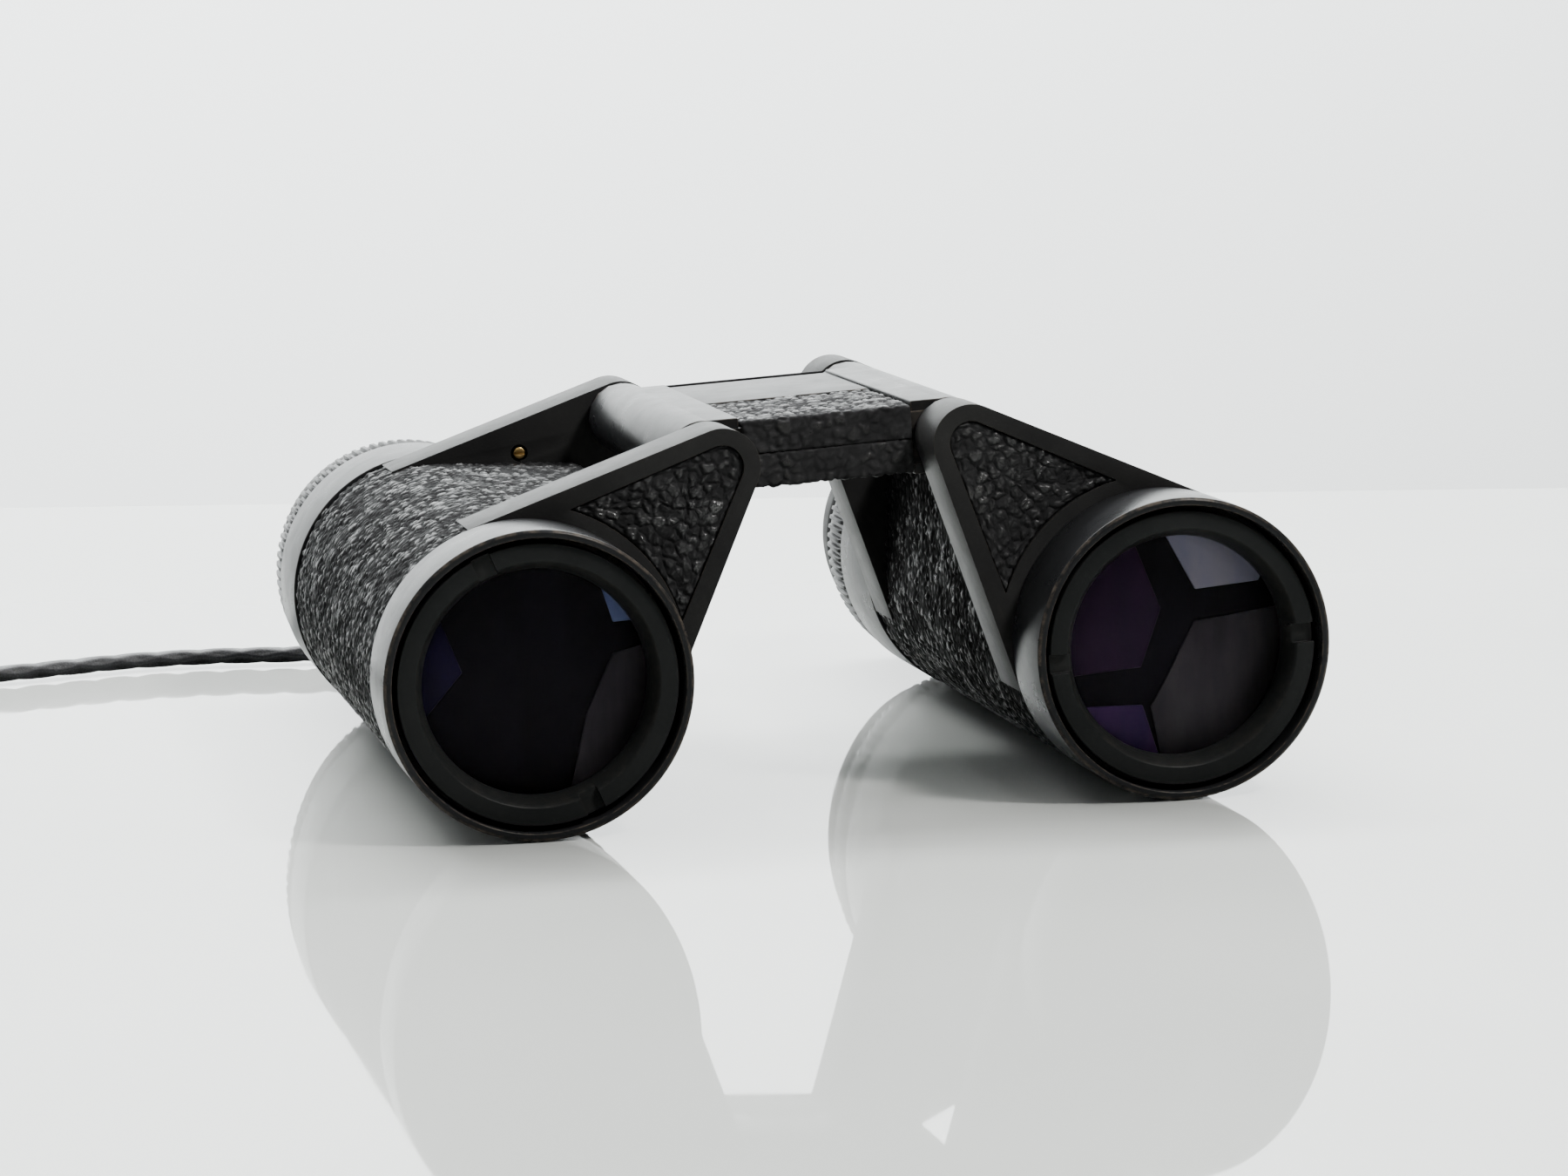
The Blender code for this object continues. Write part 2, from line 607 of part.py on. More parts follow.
finish("strap_lug", eye_plate(), tuple(LUG_EYE), "steel")

centre = LUG_EYE + E_Y * LOOP_R
loop = bmesh.new()
rows = []
for i in range(20):
    a = 2 * math.pi * i / 20
    out = E_Y * -math.cos(a) + E_T * math.sin(a)
    rows.append(
        [
            loop.verts.new(centre + out * (LOOP_R + LOOP_T * math.cos(2 * math.pi * k / 8)) + E_R * (LOOP_T * math.sin(2 * math.pi * k / 8)))
            for k in range(8)
        ]
    )
for i in range(20):
    one, two = rows[i], rows[(i + 1) % 20]
    for k in range(8):
        m = (k + 1) % 8
        loop.faces.new((one[k], one[m], two[m], two[k]))
finish("strap_loop", loop, tuple(centre), "cord_black", 60.0)

ferrule = turned(
    [
        (FERRULE[0], 0), (FERRULE[0], 1.25), (FERRULE[0] + 0.3, 1.5),
        (FERRULE[0] + FERRULE[1] - 0.3, 1.5), (FERRULE[0] + FERRULE[1], 1.25), (FERRULE[0] + FERRULE[1], 0),
    ],
    LUG_EYE.x, LUG_EYE.z, 16,
)
finish("strap_ferrule", ferrule, (LUG_EYE.x, FERRULE[0], LUG_EYE.z), "steel")

# The cord leaves the ferrule rearwards, drops to the base and runs out to the
# left, where the rest of it lies in a round coil.
CORD_Z = CORD_R + 0.05
COIL = (-95.4, 99.3)
COIL_R = (9.3, 14.4)
COIL_H = 4.7
ROUTE = [
    Vector((LUG_EYE.x, FERRULE[0] + FERRULE[1] + GAP, LUG_EYE.z)),
    Vector((LUG_EYE.x + 0.05, 92.0, LUG_EYE.z - 0.5)),
    Vector((-16.2, 98.5, 18.4)),
    Vector((-17.9, 104.8, 10.8)),
    Vector((-23.6, 110.8, 3.8)),
    Vector((-32.0, 114.4, CORD_Z + 0.3)),
    Vector((-41.5, 116.2, CORD_Z)),
    Vector((-51.0, 118.0, CORD_Z)),
    Vector((-61.0, 117.8, CORD_Z)),
    Vector((-69.0, 115.6, CORD_Z)),
    Vector((-77.0, 113.4, CORD_Z)),
    Vector((COIL[0] + 9.2, COIL[1] + 12.95, CORD_Z)),
]


def smooth_route(route, step):
    """Points evenly spaced along a centripetal Catmull-Rom curve."""
    pts = [route[0] * 2 - route[1]] + route + [route[-1] * 2 - route[-2]]
    fine = []
    for p0, p1, p2, p3 in zip(pts, pts[1:], pts[2:], pts[3:]):
        t1 = (p1 - p0).length ** 0.5
        t2 = t1 + (p2 - p1).length ** 0.5
        t3 = t2 + (p3 - p2).length ** 0.5
        for k in range(24):
            t = t1 + (t2 - t1) * k / 24
            a1 = p0 * ((t1 - t) / t1) + p1 * (t / t1)
            a2 = p1 * ((t2 - t) / (t2 - t1)) + p2 * ((t - t1) / (t2 - t1))
            a3 = p2 * ((t3 - t) / (t3 - t2)) + p3 * ((t - t2) / (t3 - t2))
            b1 = a1 * ((t2 - t) / t2) + a2 * (t / t2)
            b2 = a2 * ((t3 - t) / (t3 - t1)) + a3 * ((t - t1) / (t3 - t1))
            fine.append(b1 * ((t2 - t) / (t2 - t1)) + b2 * ((t - t1) / (t2 - t1)))
    fine.append(route[-1])
    total = sum((b - a).length for a, b in zip(fine, fine[1:]))
    count = max(2, round(total / step))
    out, run, target = [fine[0]], 0.0, total / count
    for a, b in zip(fine, fine[1:]):
        length = (b - a).length
        while run + length >= target and len(out) < count:
            out.append(a.lerp(b, (target - run) / length))
            target += total / count
        run += length
    out.append(fine[-1])
    return out


path = smooth_route(ROUTE, 3.0)
curve = bpy.data.curves.new("strap_cord", "CURVE")
curve.dimensions = "3D"
curve.bevel_depth = CORD_R * MM
curve.bevel_resolution = 2
curve.use_fill_caps = True
spline = curve.splines.new("POLY")
spline.points.add(len(path) - 1)
start = path[0]
for point, p in zip(spline.points, path):
    q = (p - start) * MM
    point.co = (q.x, q.y, q.z, 1.0)
curve.materials.append(material("cord_black", *LOOKS["cord_black"]))
cord = bpy.data.objects.new("strap_cord", curve)
bpy.context.scene.collection.objects.link(cord)
cord.location = (start.x * MM, (start.y + Y_SHIFT) * MM, start.z * MM)

coil = bmesh.new()
rows = []
profile = [(COIL_R[0], 0.5), (COIL_R[0] + 0.5, 0.0), (COIL_R[1] - 0.6, 0.0), (COIL_R[1], 0.6), (COIL_R[1], COIL_H - 0.8), (COIL_R[1] - 0.9, COIL_H), (COIL_R[0] + 0.9, COIL_H), (COIL_R[0], COIL_H - 0.8)]
for i in range(28):
    a = 2 * math.pi * (i + 0.5) / 28
    rows.append([coil.verts.new((COIL[0] + r * math.cos(a), COIL[1] + r * math.sin(a), z + 0.02)) for r, z in profile])
for i in range(28):
    one, two = rows[i], rows[(i + 1) % 28]
    for k in range(len(profile)):
        m = (k + 1) % len(profile)
        coil.faces.new((one[k], one[m], two[m], two[k]))
finish("strap_coil", coil, (COIL[0], COIL[1], 0.0), "cord_black", 40.0)

# ---------------------------------------------------------------- parenting
# Every moving piece hangs from an empty on its joint's axis.
def empty(name, x, y, z, parent=None):
    obj = bpy.data.objects.new(name, None)
    bpy.context.scene.collection.objects.link(obj)
    obj.empty_display_size = 0.01
    obj.location = (x * MM, (y + Y_SHIFT) * MM, z * MM)
    if parent:
        bpy.context.view_layer.update()
        obj.parent = parent
        obj.matrix_parent_inverse = parent.matrix_world.inverted()
    return obj


def attach(parent, names):
    bpy.context.view_layer.update()
    for label in names:
        obj = bpy.data.objects[label]
        obj.parent = parent
        obj.matrix_parent_inverse = parent.matrix_world.inverted()


bridge_root = empty("frame_bridge", ROOT[0], 40.0, ROOT[2])
attach(bridge_root, [o.name for o in bpy.data.objects if o.name.startswith("bridge_") and o.type == "MESH"])
for side in (LEFT, RIGHT):
    n = side.name
    hx, hz = side.hinge
    fold = empty("frame_%s_fold" % n, hx, 40.0, hz, bridge_root)
    focus = empty("frame_%s_focus" % n, side.cx, RING_Y[0], AXIS_Z, fold)
    ocular = empty("frame_%s_ocular" % n, side.cx, 88.0, AXIS_Z, fold)
    cup = empty("frame_%s_cup" % n, side.cx, CUP_Y[0], AXIS_Z, ocular)
    attach(focus, [n + "_focus_ring"])
    attach(ocular, [n + "_ocular_tube", n + "_field_lens", n + "_eye_lens"])
    attach(cup, [n + "_eyecup"])
    moved = ("_focus_ring", "_ocular_tube", "_field_lens", "_eye_lens", "_eyecup")
    rest = [o.name for o in bpy.data.objects if o.name.startswith(n + "_") and not o.name.endswith(moved)]
    if side is LEFT:
        rest += ["strap_lug", "strap_loop", "strap_ferrule", "strap_cord", "strap_coil"]
    attach(fold, rest)
bpy.context.view_layer.update()
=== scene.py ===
"""Looks of the folding pocket binoculars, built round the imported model.

Millimetre helpers below use the part's own lengths: y = 0 is the plane of the
two objective rims, and P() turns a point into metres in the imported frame.
"""
import json
import math

import bmesh
import bpy
import numpy as np
from mathutils import Matrix, Vector

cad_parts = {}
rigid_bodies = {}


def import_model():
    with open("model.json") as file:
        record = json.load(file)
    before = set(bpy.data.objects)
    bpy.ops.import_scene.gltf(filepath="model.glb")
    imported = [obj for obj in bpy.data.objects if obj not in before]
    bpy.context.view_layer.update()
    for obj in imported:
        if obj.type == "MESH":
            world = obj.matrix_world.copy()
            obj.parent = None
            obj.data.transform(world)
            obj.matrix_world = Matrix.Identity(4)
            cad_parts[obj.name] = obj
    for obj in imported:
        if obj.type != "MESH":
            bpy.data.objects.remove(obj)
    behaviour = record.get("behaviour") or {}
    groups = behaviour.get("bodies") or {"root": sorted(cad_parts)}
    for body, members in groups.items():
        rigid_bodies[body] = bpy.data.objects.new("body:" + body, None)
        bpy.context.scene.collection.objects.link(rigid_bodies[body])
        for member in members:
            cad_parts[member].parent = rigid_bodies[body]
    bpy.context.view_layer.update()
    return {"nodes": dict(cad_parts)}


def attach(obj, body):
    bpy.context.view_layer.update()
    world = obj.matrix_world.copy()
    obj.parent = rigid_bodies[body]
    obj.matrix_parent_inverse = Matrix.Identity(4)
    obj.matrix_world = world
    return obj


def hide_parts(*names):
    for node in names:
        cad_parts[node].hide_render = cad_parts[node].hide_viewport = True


for _old in list(bpy.data.objects):
    bpy.data.objects.remove(_old, do_unlink=True)

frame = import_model()

# ---------------------------------------------------------------- dimensions
MM = 0.001
RIM_R, AXIS_Z, SPACING, ARM = 15.0, 15.0, 64.2, 27.7
LEFT_ARM_DEG, RIGHT_ARM_DEG = 43.2, 47.0
LENGTH, Y_SHIFT = 98.6, -49.3
TUBE_R, LEATHER_R, HULL_R, ARM_R = 14.05, 14.95, 14.95, 3.82
KNUCKLE_R, PIN_R = 3.75, 1.9
FRONT_ARM, REAR_ARM = (9.4, 16.6), (60.2, 67.4)
RING_Y, CUP_Y, KNUCKLE_Y, BLOCK_Y = (81.1, 91.2), (92.6, 98.6), (17.9, 58.9), (17.7, 53.9)
BLOCK_HALF, BLOCK_T, COVER_T = 8.7, 2.7, 3.5
TOP_LEATHER_END, TOP_PLATE_END = 34.0, 52.5
INSET, INLAY_CUT_R = 1.95, 16.3
CORD_R = 1.1
RIDGE_ROUND, SHOULDER = 1.1, 3.70
PERIMETER = 1.5 * math.pi * LEATHER_R + 2 * (LEATHER_R - RIDGE_ROUND) + math.pi / 2 * RIDGE_ROUND


def P(x, y, z):
    return (x * MM, (y + Y_SHIFT) * MM, z * MM)


class Side:
    def __init__(self, name, cx, deg, mirror):
        self.name, self.cx, self.mirror = name, cx, mirror
        self.c, self.s = math.cos(math.radians(deg)), math.sin(math.radians(deg))

    def to_world(self, a, b):
        x = a * self.c - b * self.s
        return self.cx + (-x if self.mirror else x), AXIS_Z + a * self.s + b * self.c

    @property
    def hinge(self):
        return self.to_world(ARM, 0.0)


LEFT = Side("left", -SPACING / 2, LEFT_ARM_DEG, False)
RIGHT = Side("right", SPACING / 2, RIGHT_ARM_DEG, True)
HL, HR = LEFT.hinge, RIGHT.hinge
HINGE_SPAN = math.hypot(HR[0] - HL[0], HR[1] - HL[1])
TILT = math.atan2(HR[1] - HL[1], HR[0] - HL[0])
MID = ((HL[0] + HR[0]) / 2, (HL[1] + HR[1]) / 2)


def bridge(p, q):
    c, s = math.cos(TILT), math.sin(TILT)
    return MID[0] + p * c - q * s, MID[1] + p * s + q * c


# ---------------------------------------------------------------- materials
def nodes_of(name):
    mat = bpy.data.materials.new(name)
    mat.use_nodes = True
    tree = mat.node_tree
    return mat, tree, tree.nodes["Principled BSDF"]


def add(tree, kind, **settings):
    node = tree.nodes.new(kind)
    for key, value in settings.items():
        setattr(node, key, value)
    return node


def noise(tree, scale, detail=3.0, rough=0.5, vector=None, distortion=0.0):
    n = add(tree, "ShaderNodeTexNoise")
    n.inputs["Scale"].default_value = scale
    n.inputs["Detail"].default_value = detail
    n.inputs["Roughness"].default_value = rough
    n.inputs["Distortion"].default_value = distortion
    if vector is not None:
        tree.links.new(vector, n.inputs["Vector"])
    return n.outputs["Fac"]


def ramp(tree, value, stops, ease=False):
    r = add(tree, "ShaderNodeValToRGB")
    if ease:
        r.color_ramp.interpolation = "EASE"
    els = r.color_ramp.elements
    while len(els) < len(stops):
        els.new(0.5)
    for el, (pos, col) in zip(els, stops):
        el.position = pos
        el.color = (*col, 1.0) if len(col) == 3 else col
    tree.links.new(value, r.inputs["Fac"])
    return r.outputs["Color"]


def maths(tree, op, a, b=None, clamp=False):
    n = add(tree, "ShaderNodeMath", operation=op, use_clamp=clamp)
    for i, v in enumerate((a, b)):
        if v is None:
            continue
        if isinstance(v, (int, float)):
            n.inputs[i].default_value = v
        else:
            tree.links.new(v, n.inputs[i])
    return n.outputs[0]


def mix(tree, fac, a, b):
    n = add(tree, "ShaderNodeMix", data_type="RGBA")
    tree.links.new(fac, n.inputs["Factor"]) if not isinstance(fac, float) else setattr(n.inputs["Factor"], "default_value", fac)
    for key, v in (("A", a), ("B", b)):
        sockets = [s for s in n.inputs if s.name == key and s.type == "RGBA"]
        if isinstance(v, tuple):
            sockets[0].default_value = (*v, 1.0)
        else:
            tree.links.new(v, sockets[0])
    return [s for s in n.outputs if s.type == "RGBA"][0]


def object_coords(tree, stretch=None):
    t = add(tree, "ShaderNodeTexCoord")
    if stretch is None:
        return t.outputs["Object"]
    m = add(tree, "ShaderNodeMapping")
    m.inputs["Scale"].default_value = stretch
    tree.links.new(t.outputs["Object"], m.inputs["Vector"])
    return m.outputs["Vector"]


def bump(tree, bsdf, height, strength, distance, below=None):
    b = add(tree, "ShaderNodeBump")
    b.inputs["Strength"].default_value = strength
    b.inputs["Distance"].default_value = distance
    tree.links.new(height, b.inputs["Height"])
    if below is not None:
        tree.links.new(below, b.inputs["Normal"])
    tree.links.new(b.outputs["Normal"], bsdf.inputs["Normal"])
    return b.outputs["Normal"]


def paint(name, dark, light, rough, grain=0.35, worn=(0.085, 0.068, 0.052), turned_marks=None, spec=0.5, ior=1.15):
    """Black finish on cast or turned aluminium: fine grain, uneven sheen, wear on edges."""
    mat, tree, bsdf = nodes_of(name)
    co = object_coords(tree)
    broad = noise(tree, 90.0, 4.0, 0.6, co)
    fine = noise(tree, 5200.0, 2.0, 0.6, co)
    smudge = noise(tree, 260.0, 5.0, 0.65, co, 0.4)
    base = ramp(tree, broad, [(0.3, dark), (0.7, light)])
    attr = add(tree, "ShaderNodeAttribute", attribute_name="wear")
    broken = ramp(tree, noise(tree, 900.0, 5.0, 0.7, co), [(0.40, (0, 0, 0)), (0.62, (1, 1, 1))])
    mask = maths(tree, "MULTIPLY", attr.outputs["Fac"], broken, True)
    tree.links.new(mix(tree, mask, base, worn), bsdf.inputs["Base Color"])
    r1 = maths(tree, "MULTIPLY_ADD", smudge, 0.22)
    r1.node.inputs[2].default_value = rough - 0.11
    tree.links.new(r1, bsdf.inputs["Roughness"])
    bsdf.inputs["Specular IOR Level"].default_value = spec
    bsdf.inputs["IOR"].default_value = ior
    height = fine
    if turned_marks:
        marks = noise(tree, turned_marks, 2.0, 0.5, object_coords(tree, (0.02, 1.0, 0.02)))
        height = maths(tree, "ADD", fine, marks)
    bump(tree, bsdf, height, grain, 0.00006)
    return mat


def leather_finish(name, ior, low, high, dark, light):
    mat, tree, bsdf = nodes_of(name)
    co = object_coords(tree)
    attr = add(tree, "ShaderNodeAttribute", attribute_name="relief")
    tone = noise(tree, 350.0, 4.0, 0.6, co)
    col = ramp(tree, tone, [(0.25, (dark, dark, dark * 1.04)), (0.75, (light, light, light * 1.03))])
    # Painted highlight: the crests are lighter in patches, and the creases keep the darker base as painted shade.
    crest_highlight_colour = mix(tree, maths(tree, "MULTIPLY", ramp(tree, attr.outputs["Fac"], [(0.55, (0, 0, 0)), (1.0, (1, 1, 1))]), ramp(tree, noise(tree, 160.0, 3.0, 0.6, co), [(0.45, (0, 0, 0)), (0.7, (1, 1, 1))])), col, (0.022, 0.021, 0.020))
    tree.links.new(crest_highlight_colour, bsdf.inputs["Base Color"])
    rough = ramp(tree, attr.outputs["Fac"], [(0.15, (0.80,) * 3), (0.85, (0.27,) * 3)])
    wob = maths(tree, "MULTIPLY_ADD", noise(tree, 1400.0, 3.0, 0.6, co), 0.22)
    wob.node.inputs[2].default_value = -0.11
    tree.links.new(maths(tree, "ADD", rough, wob), bsdf.inputs["Roughness"])
    bsdf.inputs["IOR"].default_value = ior
    tree.links.new(ramp(tree, attr.outputs["Fac"], [(low, (0.03,) * 3), (0.95, (high,) * 3)]), bsdf.inputs["Specular IOR Level"])
    bump(tree, bsdf, noise(tree, 3800.0, 4.0, 0.65, co), 0.45, 0.00008)
    return mat


def metal_finish(name, color, rough, stain=(0.1, 0.08, 0.05)):
    mat, tree, bsdf = nodes_of(name)
    co = object_coords(tree)
    base = mix(tree, ramp(tree, noise(tree, 600.0, 5.0, 0.65, co), [(0.5, (0, 0, 0)), (0.75, (1, 1, 1))]), color, stain)
    tree.links.new(base, bsdf.inputs["Base Color"])
    bsdf.inputs["Metallic"].default_value = 1.0
    r = maths(tree, "MULTIPLY_ADD", noise(tree, 1500.0, 4.0, 0.6, co), 0.25)
    r.node.inputs[2].default_value = rough - 0.1
    tree.links.new(r, bsdf.inputs["Roughness"])
    bump(tree, bsdf, noise(tree, 2600.0, 3.0, 0.6, co), 0.25, 0.00005)
    return mat


def glass_finish(name, tint, spec_tint, ior=1.52, dust=0.05):
    mat, tree, bsdf = nodes_of(name)
    co = object_coords(tree)
    bsdf.inputs["Base Color"].default_value = (*tint, 1.0)
    bsdf.inputs["Transmission Weight"].default_value = 1.0
    bsdf.inputs["IOR"].default_value = ior
    bsdf.inputs["Specular Tint"].default_value = (*spec_tint, 1.0)
    bsdf.inputs["Specular IOR Level"].default_value = 0.05
    haze = ramp(tree, noise(tree, 120.0, 4.0, 0.6, co), [(0.35, (0.002,) * 3), (0.8, (0.014,) * 3)])
    tree.links.new(maths(tree, "MULTIPLY", haze, dust * 12), bsdf.inputs["Roughness"])
    return mat


def painted_light_finish(name, color, edge, rough=0.35, spec=0.04):
    """A coloured sheet behind the objective that paints light into the lens: in colour a painted reflection, in
    near-black painted shade inside the barrel. It has a soft gradient and fine streaks.
    """
    mat, tree, bsdf = nodes_of(name)
    co = object_coords(tree)
    streak = noise(tree, 260.0, 4.0, 0.6, object_coords(tree, (1.0, 1.0, 0.25)))
    base = mix(tree, ramp(tree, streak, [(0.35, (0, 0, 0)), (0.72, (1, 1, 1))]), color, edge)
    tree.links.new(base, bsdf.inputs["Base Color"])
    r = maths(tree, "MULTIPLY_ADD", noise(tree, 900.0, 3.0, 0.6, co), 0.15)
    r.node.inputs[2].default_value = rough - 0.07
    tree.links.new(r, bsdf.inputs["Roughness"])
    bsdf.inputs["Specular IOR Level"].default_value = spec
    bump(tree, bsdf, noise(tree, 1800.0, 3.0, 0.6, co), 0.15, 0.00004)
    return mat


def cord_finish():
    mat, tree, bsdf = nodes_of("plaited_cord")
    co = object_coords(tree)
    attr = add(tree, "ShaderNodeAttribute", attribute_name="relief")
    # Painted shade: the plait's dips are darker and its crests lighter, following the relief.
    col = ramp(tree, attr.outputs["Fac"], [(0.0, (0.0025, 0.0025, 0.003)), (1.0, (0.0075, 0.0077, 0.0088))])
    fibre = noise(tree, 5200.0, 2.0, 0.6, object_coords(tree, (1.0, 0.35, 1.0)))
    tree.links.new(mix(tree, ramp(tree, fibre, [(0.45, (0, 0, 0)), (0.72, (1, 1, 1))]), col, (0.020, 0.0205, 0.023)), bsdf.inputs["Base Color"])
    r = maths(tree, "MULTIPLY_ADD", noise(tree, 700.0, 3.0, 0.6, co), 0.25)
    r.node.inputs[2].default_value = 0.36
    tree.links.new(r, bsdf.inputs["Roughness"])
    bsdf.inputs["IOR"].default_value = 1.28
    bump(tree, bsdf, fibre, 0.6, 0.00008)
    return mat


def rubber_finish():
    mat, tree, bsdf = nodes_of("eyecup_rubber")
    co = object_coords(tree)
    col = ramp(tree, noise(tree, 180.0, 5.0, 0.6, co), [(0.3, (0.0080, 0.0080, 0.0084)), (0.75, (0.0150, 0.0150, 0.0156))])
    dust = ramp(tree, noise(tree, 1600.0, 3.0, 0.5, co), [(0.66, (0, 0, 0)), (0.72, (1, 1, 1))])
    tree.links.new(mix(tree, maths(tree, "MULTIPLY", dust, 0.10), col, (0.11, 0.105, 0.10)), bsdf.inputs["Base Color"])
    r = maths(tree, "MULTIPLY_ADD", noise(tree, 500.0, 4.0, 0.6, co), 0.2)
    r.node.inputs[2].default_value = 0.52
    bsdf.inputs["IOR"].default_value = 1.28
    tree.links.new(r, bsdf.inputs["Roughness"])
    bump(tree, bsdf, noise(tree, 3600.0, 3.0, 0.6, co), 0.5, 0.00007)
    return mat


M = {
    "satin": paint("satin_black_metal", (0.0060, 0.0062, 0.0066), (0.0098, 0.0100, 0.0105), 0.36),
    "band": paint("smooth_black_band", (0.0065, 0.0068, 0.0073), (0.0105, 0.0108, 0.0114), 0.30, grain=0.12, turned_marks=1800.0),
    "arm": paint("cast_arm_black", (0.0100, 0.0100, 0.0102), (0.0160, 0.0159, 0.0156), 0.42, grain=0.45, ior=1.12),
    "ring": paint("retaining_ring_black", (0.0055, 0.0062, 0.0062), (0.0090, 0.0096, 0.0096), 0.40, grain=0.25, turned_marks=2600.0),
    "gloss": paint("knuckle_black", (0.0060, 0.0062, 0.0067), (0.0090, 0.0092, 0.0097), 0.30, grain=0.16),
    "inner": paint("baffle_black", (0.0030, 0.0030, 0.0032), (0.0060, 0.0060, 0.0063), 0.62, grain=0.7),
    "leather": leather_finish("inlay_leatherette", 1.50, 0.50, 0.66, 0.0085, 0.0170),
    "wrap": leather_finish("tube_leatherette", 1.28, 0.56, 0.42, 0.0045, 0.0100),
    "bridge": leather_finish("bridge_leatherette", 1.26, 0.45, 0.50, 0.0100, 0.0210),
    "steel": metal_finish("hinge_steel", (0.42, 0.42, 0.43), 0.32),
    "dark_steel": metal_finish("blackened_steel", (0.07, 0.07, 0.075), 0.38, (0.13, 0.10, 0.07)),
    "brass": metal_finish("grub_brass", (0.62, 0.42, 0.16), 0.34, (0.25, 0.15, 0.06)),
    "rubber": rubber_finish(),
    "cord": cord_finish(),
    "lens": glass_finish("coated_objective_glass", (0.96, 0.95, 0.98), (0.80, 0.62, 1.0), 1.06),
    "eye": glass_finish("coated_eye_glass", (0.90, 0.92, 0.99), (0.55, 0.60, 1.0), 1.16),
    # Painted reflections: colours for the sheets behind the objective.
    "painted_reflection_lilac": painted_light_finish("prism_face_lilac", (0.150, 0.142, 0.165), (0.105, 0.112, 0.160)),
    "painted_reflection_brown": painted_light_finish("prism_face_brown", (0.026, 0.022, 0.025), (0.046, 0.043, 0.044)),
    "painted_reflection_plum": painted_light_finish("prism_face_plum", (0.018, 0.0065, 0.020), (0.010, 0.0045, 0.014)),
    "painted_reflection_violet": painted_light_finish("prism_face_violet", (0.046, 0.021, 0.066), (0.026, 0.014, 0.048)),
    "painted_reflection_deep": painted_light_finish("prism_face_deep", (0.0085, 0.0045, 0.024), (0.004, 0.0025, 0.012)),
    "painted_reflection_blue": painted_light_finish("prism_face_blue", (0.10, 0.13, 0.22), (0.07, 0.09, 0.18)),
    # Painted shade: the near-black disc behind the painted reflections.
    "painted_shade_black": painted_light_finish("prism_face_black", (0.0022, 0.0020, 0.0026), (0.0045, 0.0038, 0.0060), 0.5),
    "prism": glass_finish("prism_crown_glass", (0.93, 0.97, 0.96), (1.0, 0.98, 0.95), 1.57, 0.02),
}

# ---------------------------------------------------------------- mesh tools
PIECES = {}


def place(obj, mat, body, nodes=()):
    obj.data.materials.clear()
    obj.data.materials.append(mat)
    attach(obj, body)
    if nodes:
        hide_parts(*nodes)
    PIECES[obj.name] = obj
    return obj


def from_arrays(name, verts, faces, smooth=35.0):
    """verts in metres, faces as a list of index tuples or an (n, 4) array."""
    me = bpy.data.meshes.new(name)
    verts = np.asarray(verts, np.float64)
    if isinstance(faces, np.ndarray):
        n, k = faces.shape
        me.vertices.add(len(verts))
        me.vertices.foreach_set("co", verts.astype(np.float32).ravel())
        me.loops.add(n * k)
        me.loops.foreach_set("vertex_index", faces.astype(np.int32).ravel())
        me.polygons.add(n)
        me.polygons.foreach_set("loop_start", np.arange(0, n * k, k, dtype=np.int32))
        me.update(calc_edges=True)
    else:
        me.from_pydata([tuple(v) for v in verts], [], [tuple(f) for f in faces])
        me.update()
    me.validate()
    me.shade_smooth()
    if smooth:
        me.set_sharp_from_angle(angle=math.radians(smooth))
    obj = bpy.data.objects.new(name, me)
    bpy.context.scene.collection.objects.link(obj)
    return obj


def from_bmesh(name, bm, smooth=35.0):
    me = bpy.data.meshes.new(name)
    bmesh.ops.recalc_face_normals(bm, faces=bm.faces[:])
    bm.to_mesh(me)
    bm.free()
    me.shade_smooth()
    if smooth:
        me.set_sharp_from_angle(angle=math.radians(smooth))
    obj = bpy.data.objects.new(name, me)
    bpy.context.scene.collection.objects.link(obj)
    return obj


def fillet(points, radius, steps=3, least=25.0, closed=True):
    """Round each corner of an outline that turns by more than `least` degrees."""
    out, n = [], len(points)
    for i, p in enumerate(points):
        if not closed and i in (0, n - 1):
            out.append(tuple(p))
            continue
        a, b, c = Vector(points[i - 1]), Vector(p), Vector(points[(i + 1) % n])
        u, v = a - b, c - b
        if u.length < 1e-6 or v.length < 1e-6 or math.pi - u.angle(v) < math.radians(least):
            out.append(tuple(p))
            continue
        d = min(radius, u.length * 0.42, v.length * 0.42)
        s, e = b + u.normalized() * d, b + v.normalized() * d
        for k in range(steps + 1):
            t = k / steps
            q = s * (1 - t) ** 2 + b * 2 * t * (1 - t) + e * t * t
            out.append((q.x, q.y))
    return out


def turned_bm(profile, cx, cz, segs=144, phase=0.0, rib=None):
    """Turn a closed (y, r) outline about a Y axis, in metres. rib(y, r, angles) adds to the radius."""
    bm = bmesh.new()
    ang = 2 * np.pi * (np.arange(segs) + phase) / segs
    rings = []
    for y, r in profile:
        if r <= 1e-6:
            rings.append([bm.verts.new(P(cx, y, cz))])
            continue
        rr = np.full(segs, r) + (rib(y, r, ang) if rib else 0.0)
        rings.append([bm.verts.new(P(cx + rr[i] * math.cos(ang[i]), y, cz + rr[i] * math.sin(ang[i]))) for i in range(segs)])
    for j in range(len(rings)):
        one, two = rings[j], rings[(j + 1) % len(rings)]
        if len(one) == 1 and len(two) == 1:
            continue
        for i in range(segs):
            k = (i + 1) % segs
            if len(one) == 1:
                bm.faces.new((one[0], two[k], two[i]))
            elif len(two) == 1:
                bm.faces.new((one[i], one[k], two[0]))
            else:
                bm.faces.new((one[i], one[k], two[k], two[i]))
    return bm


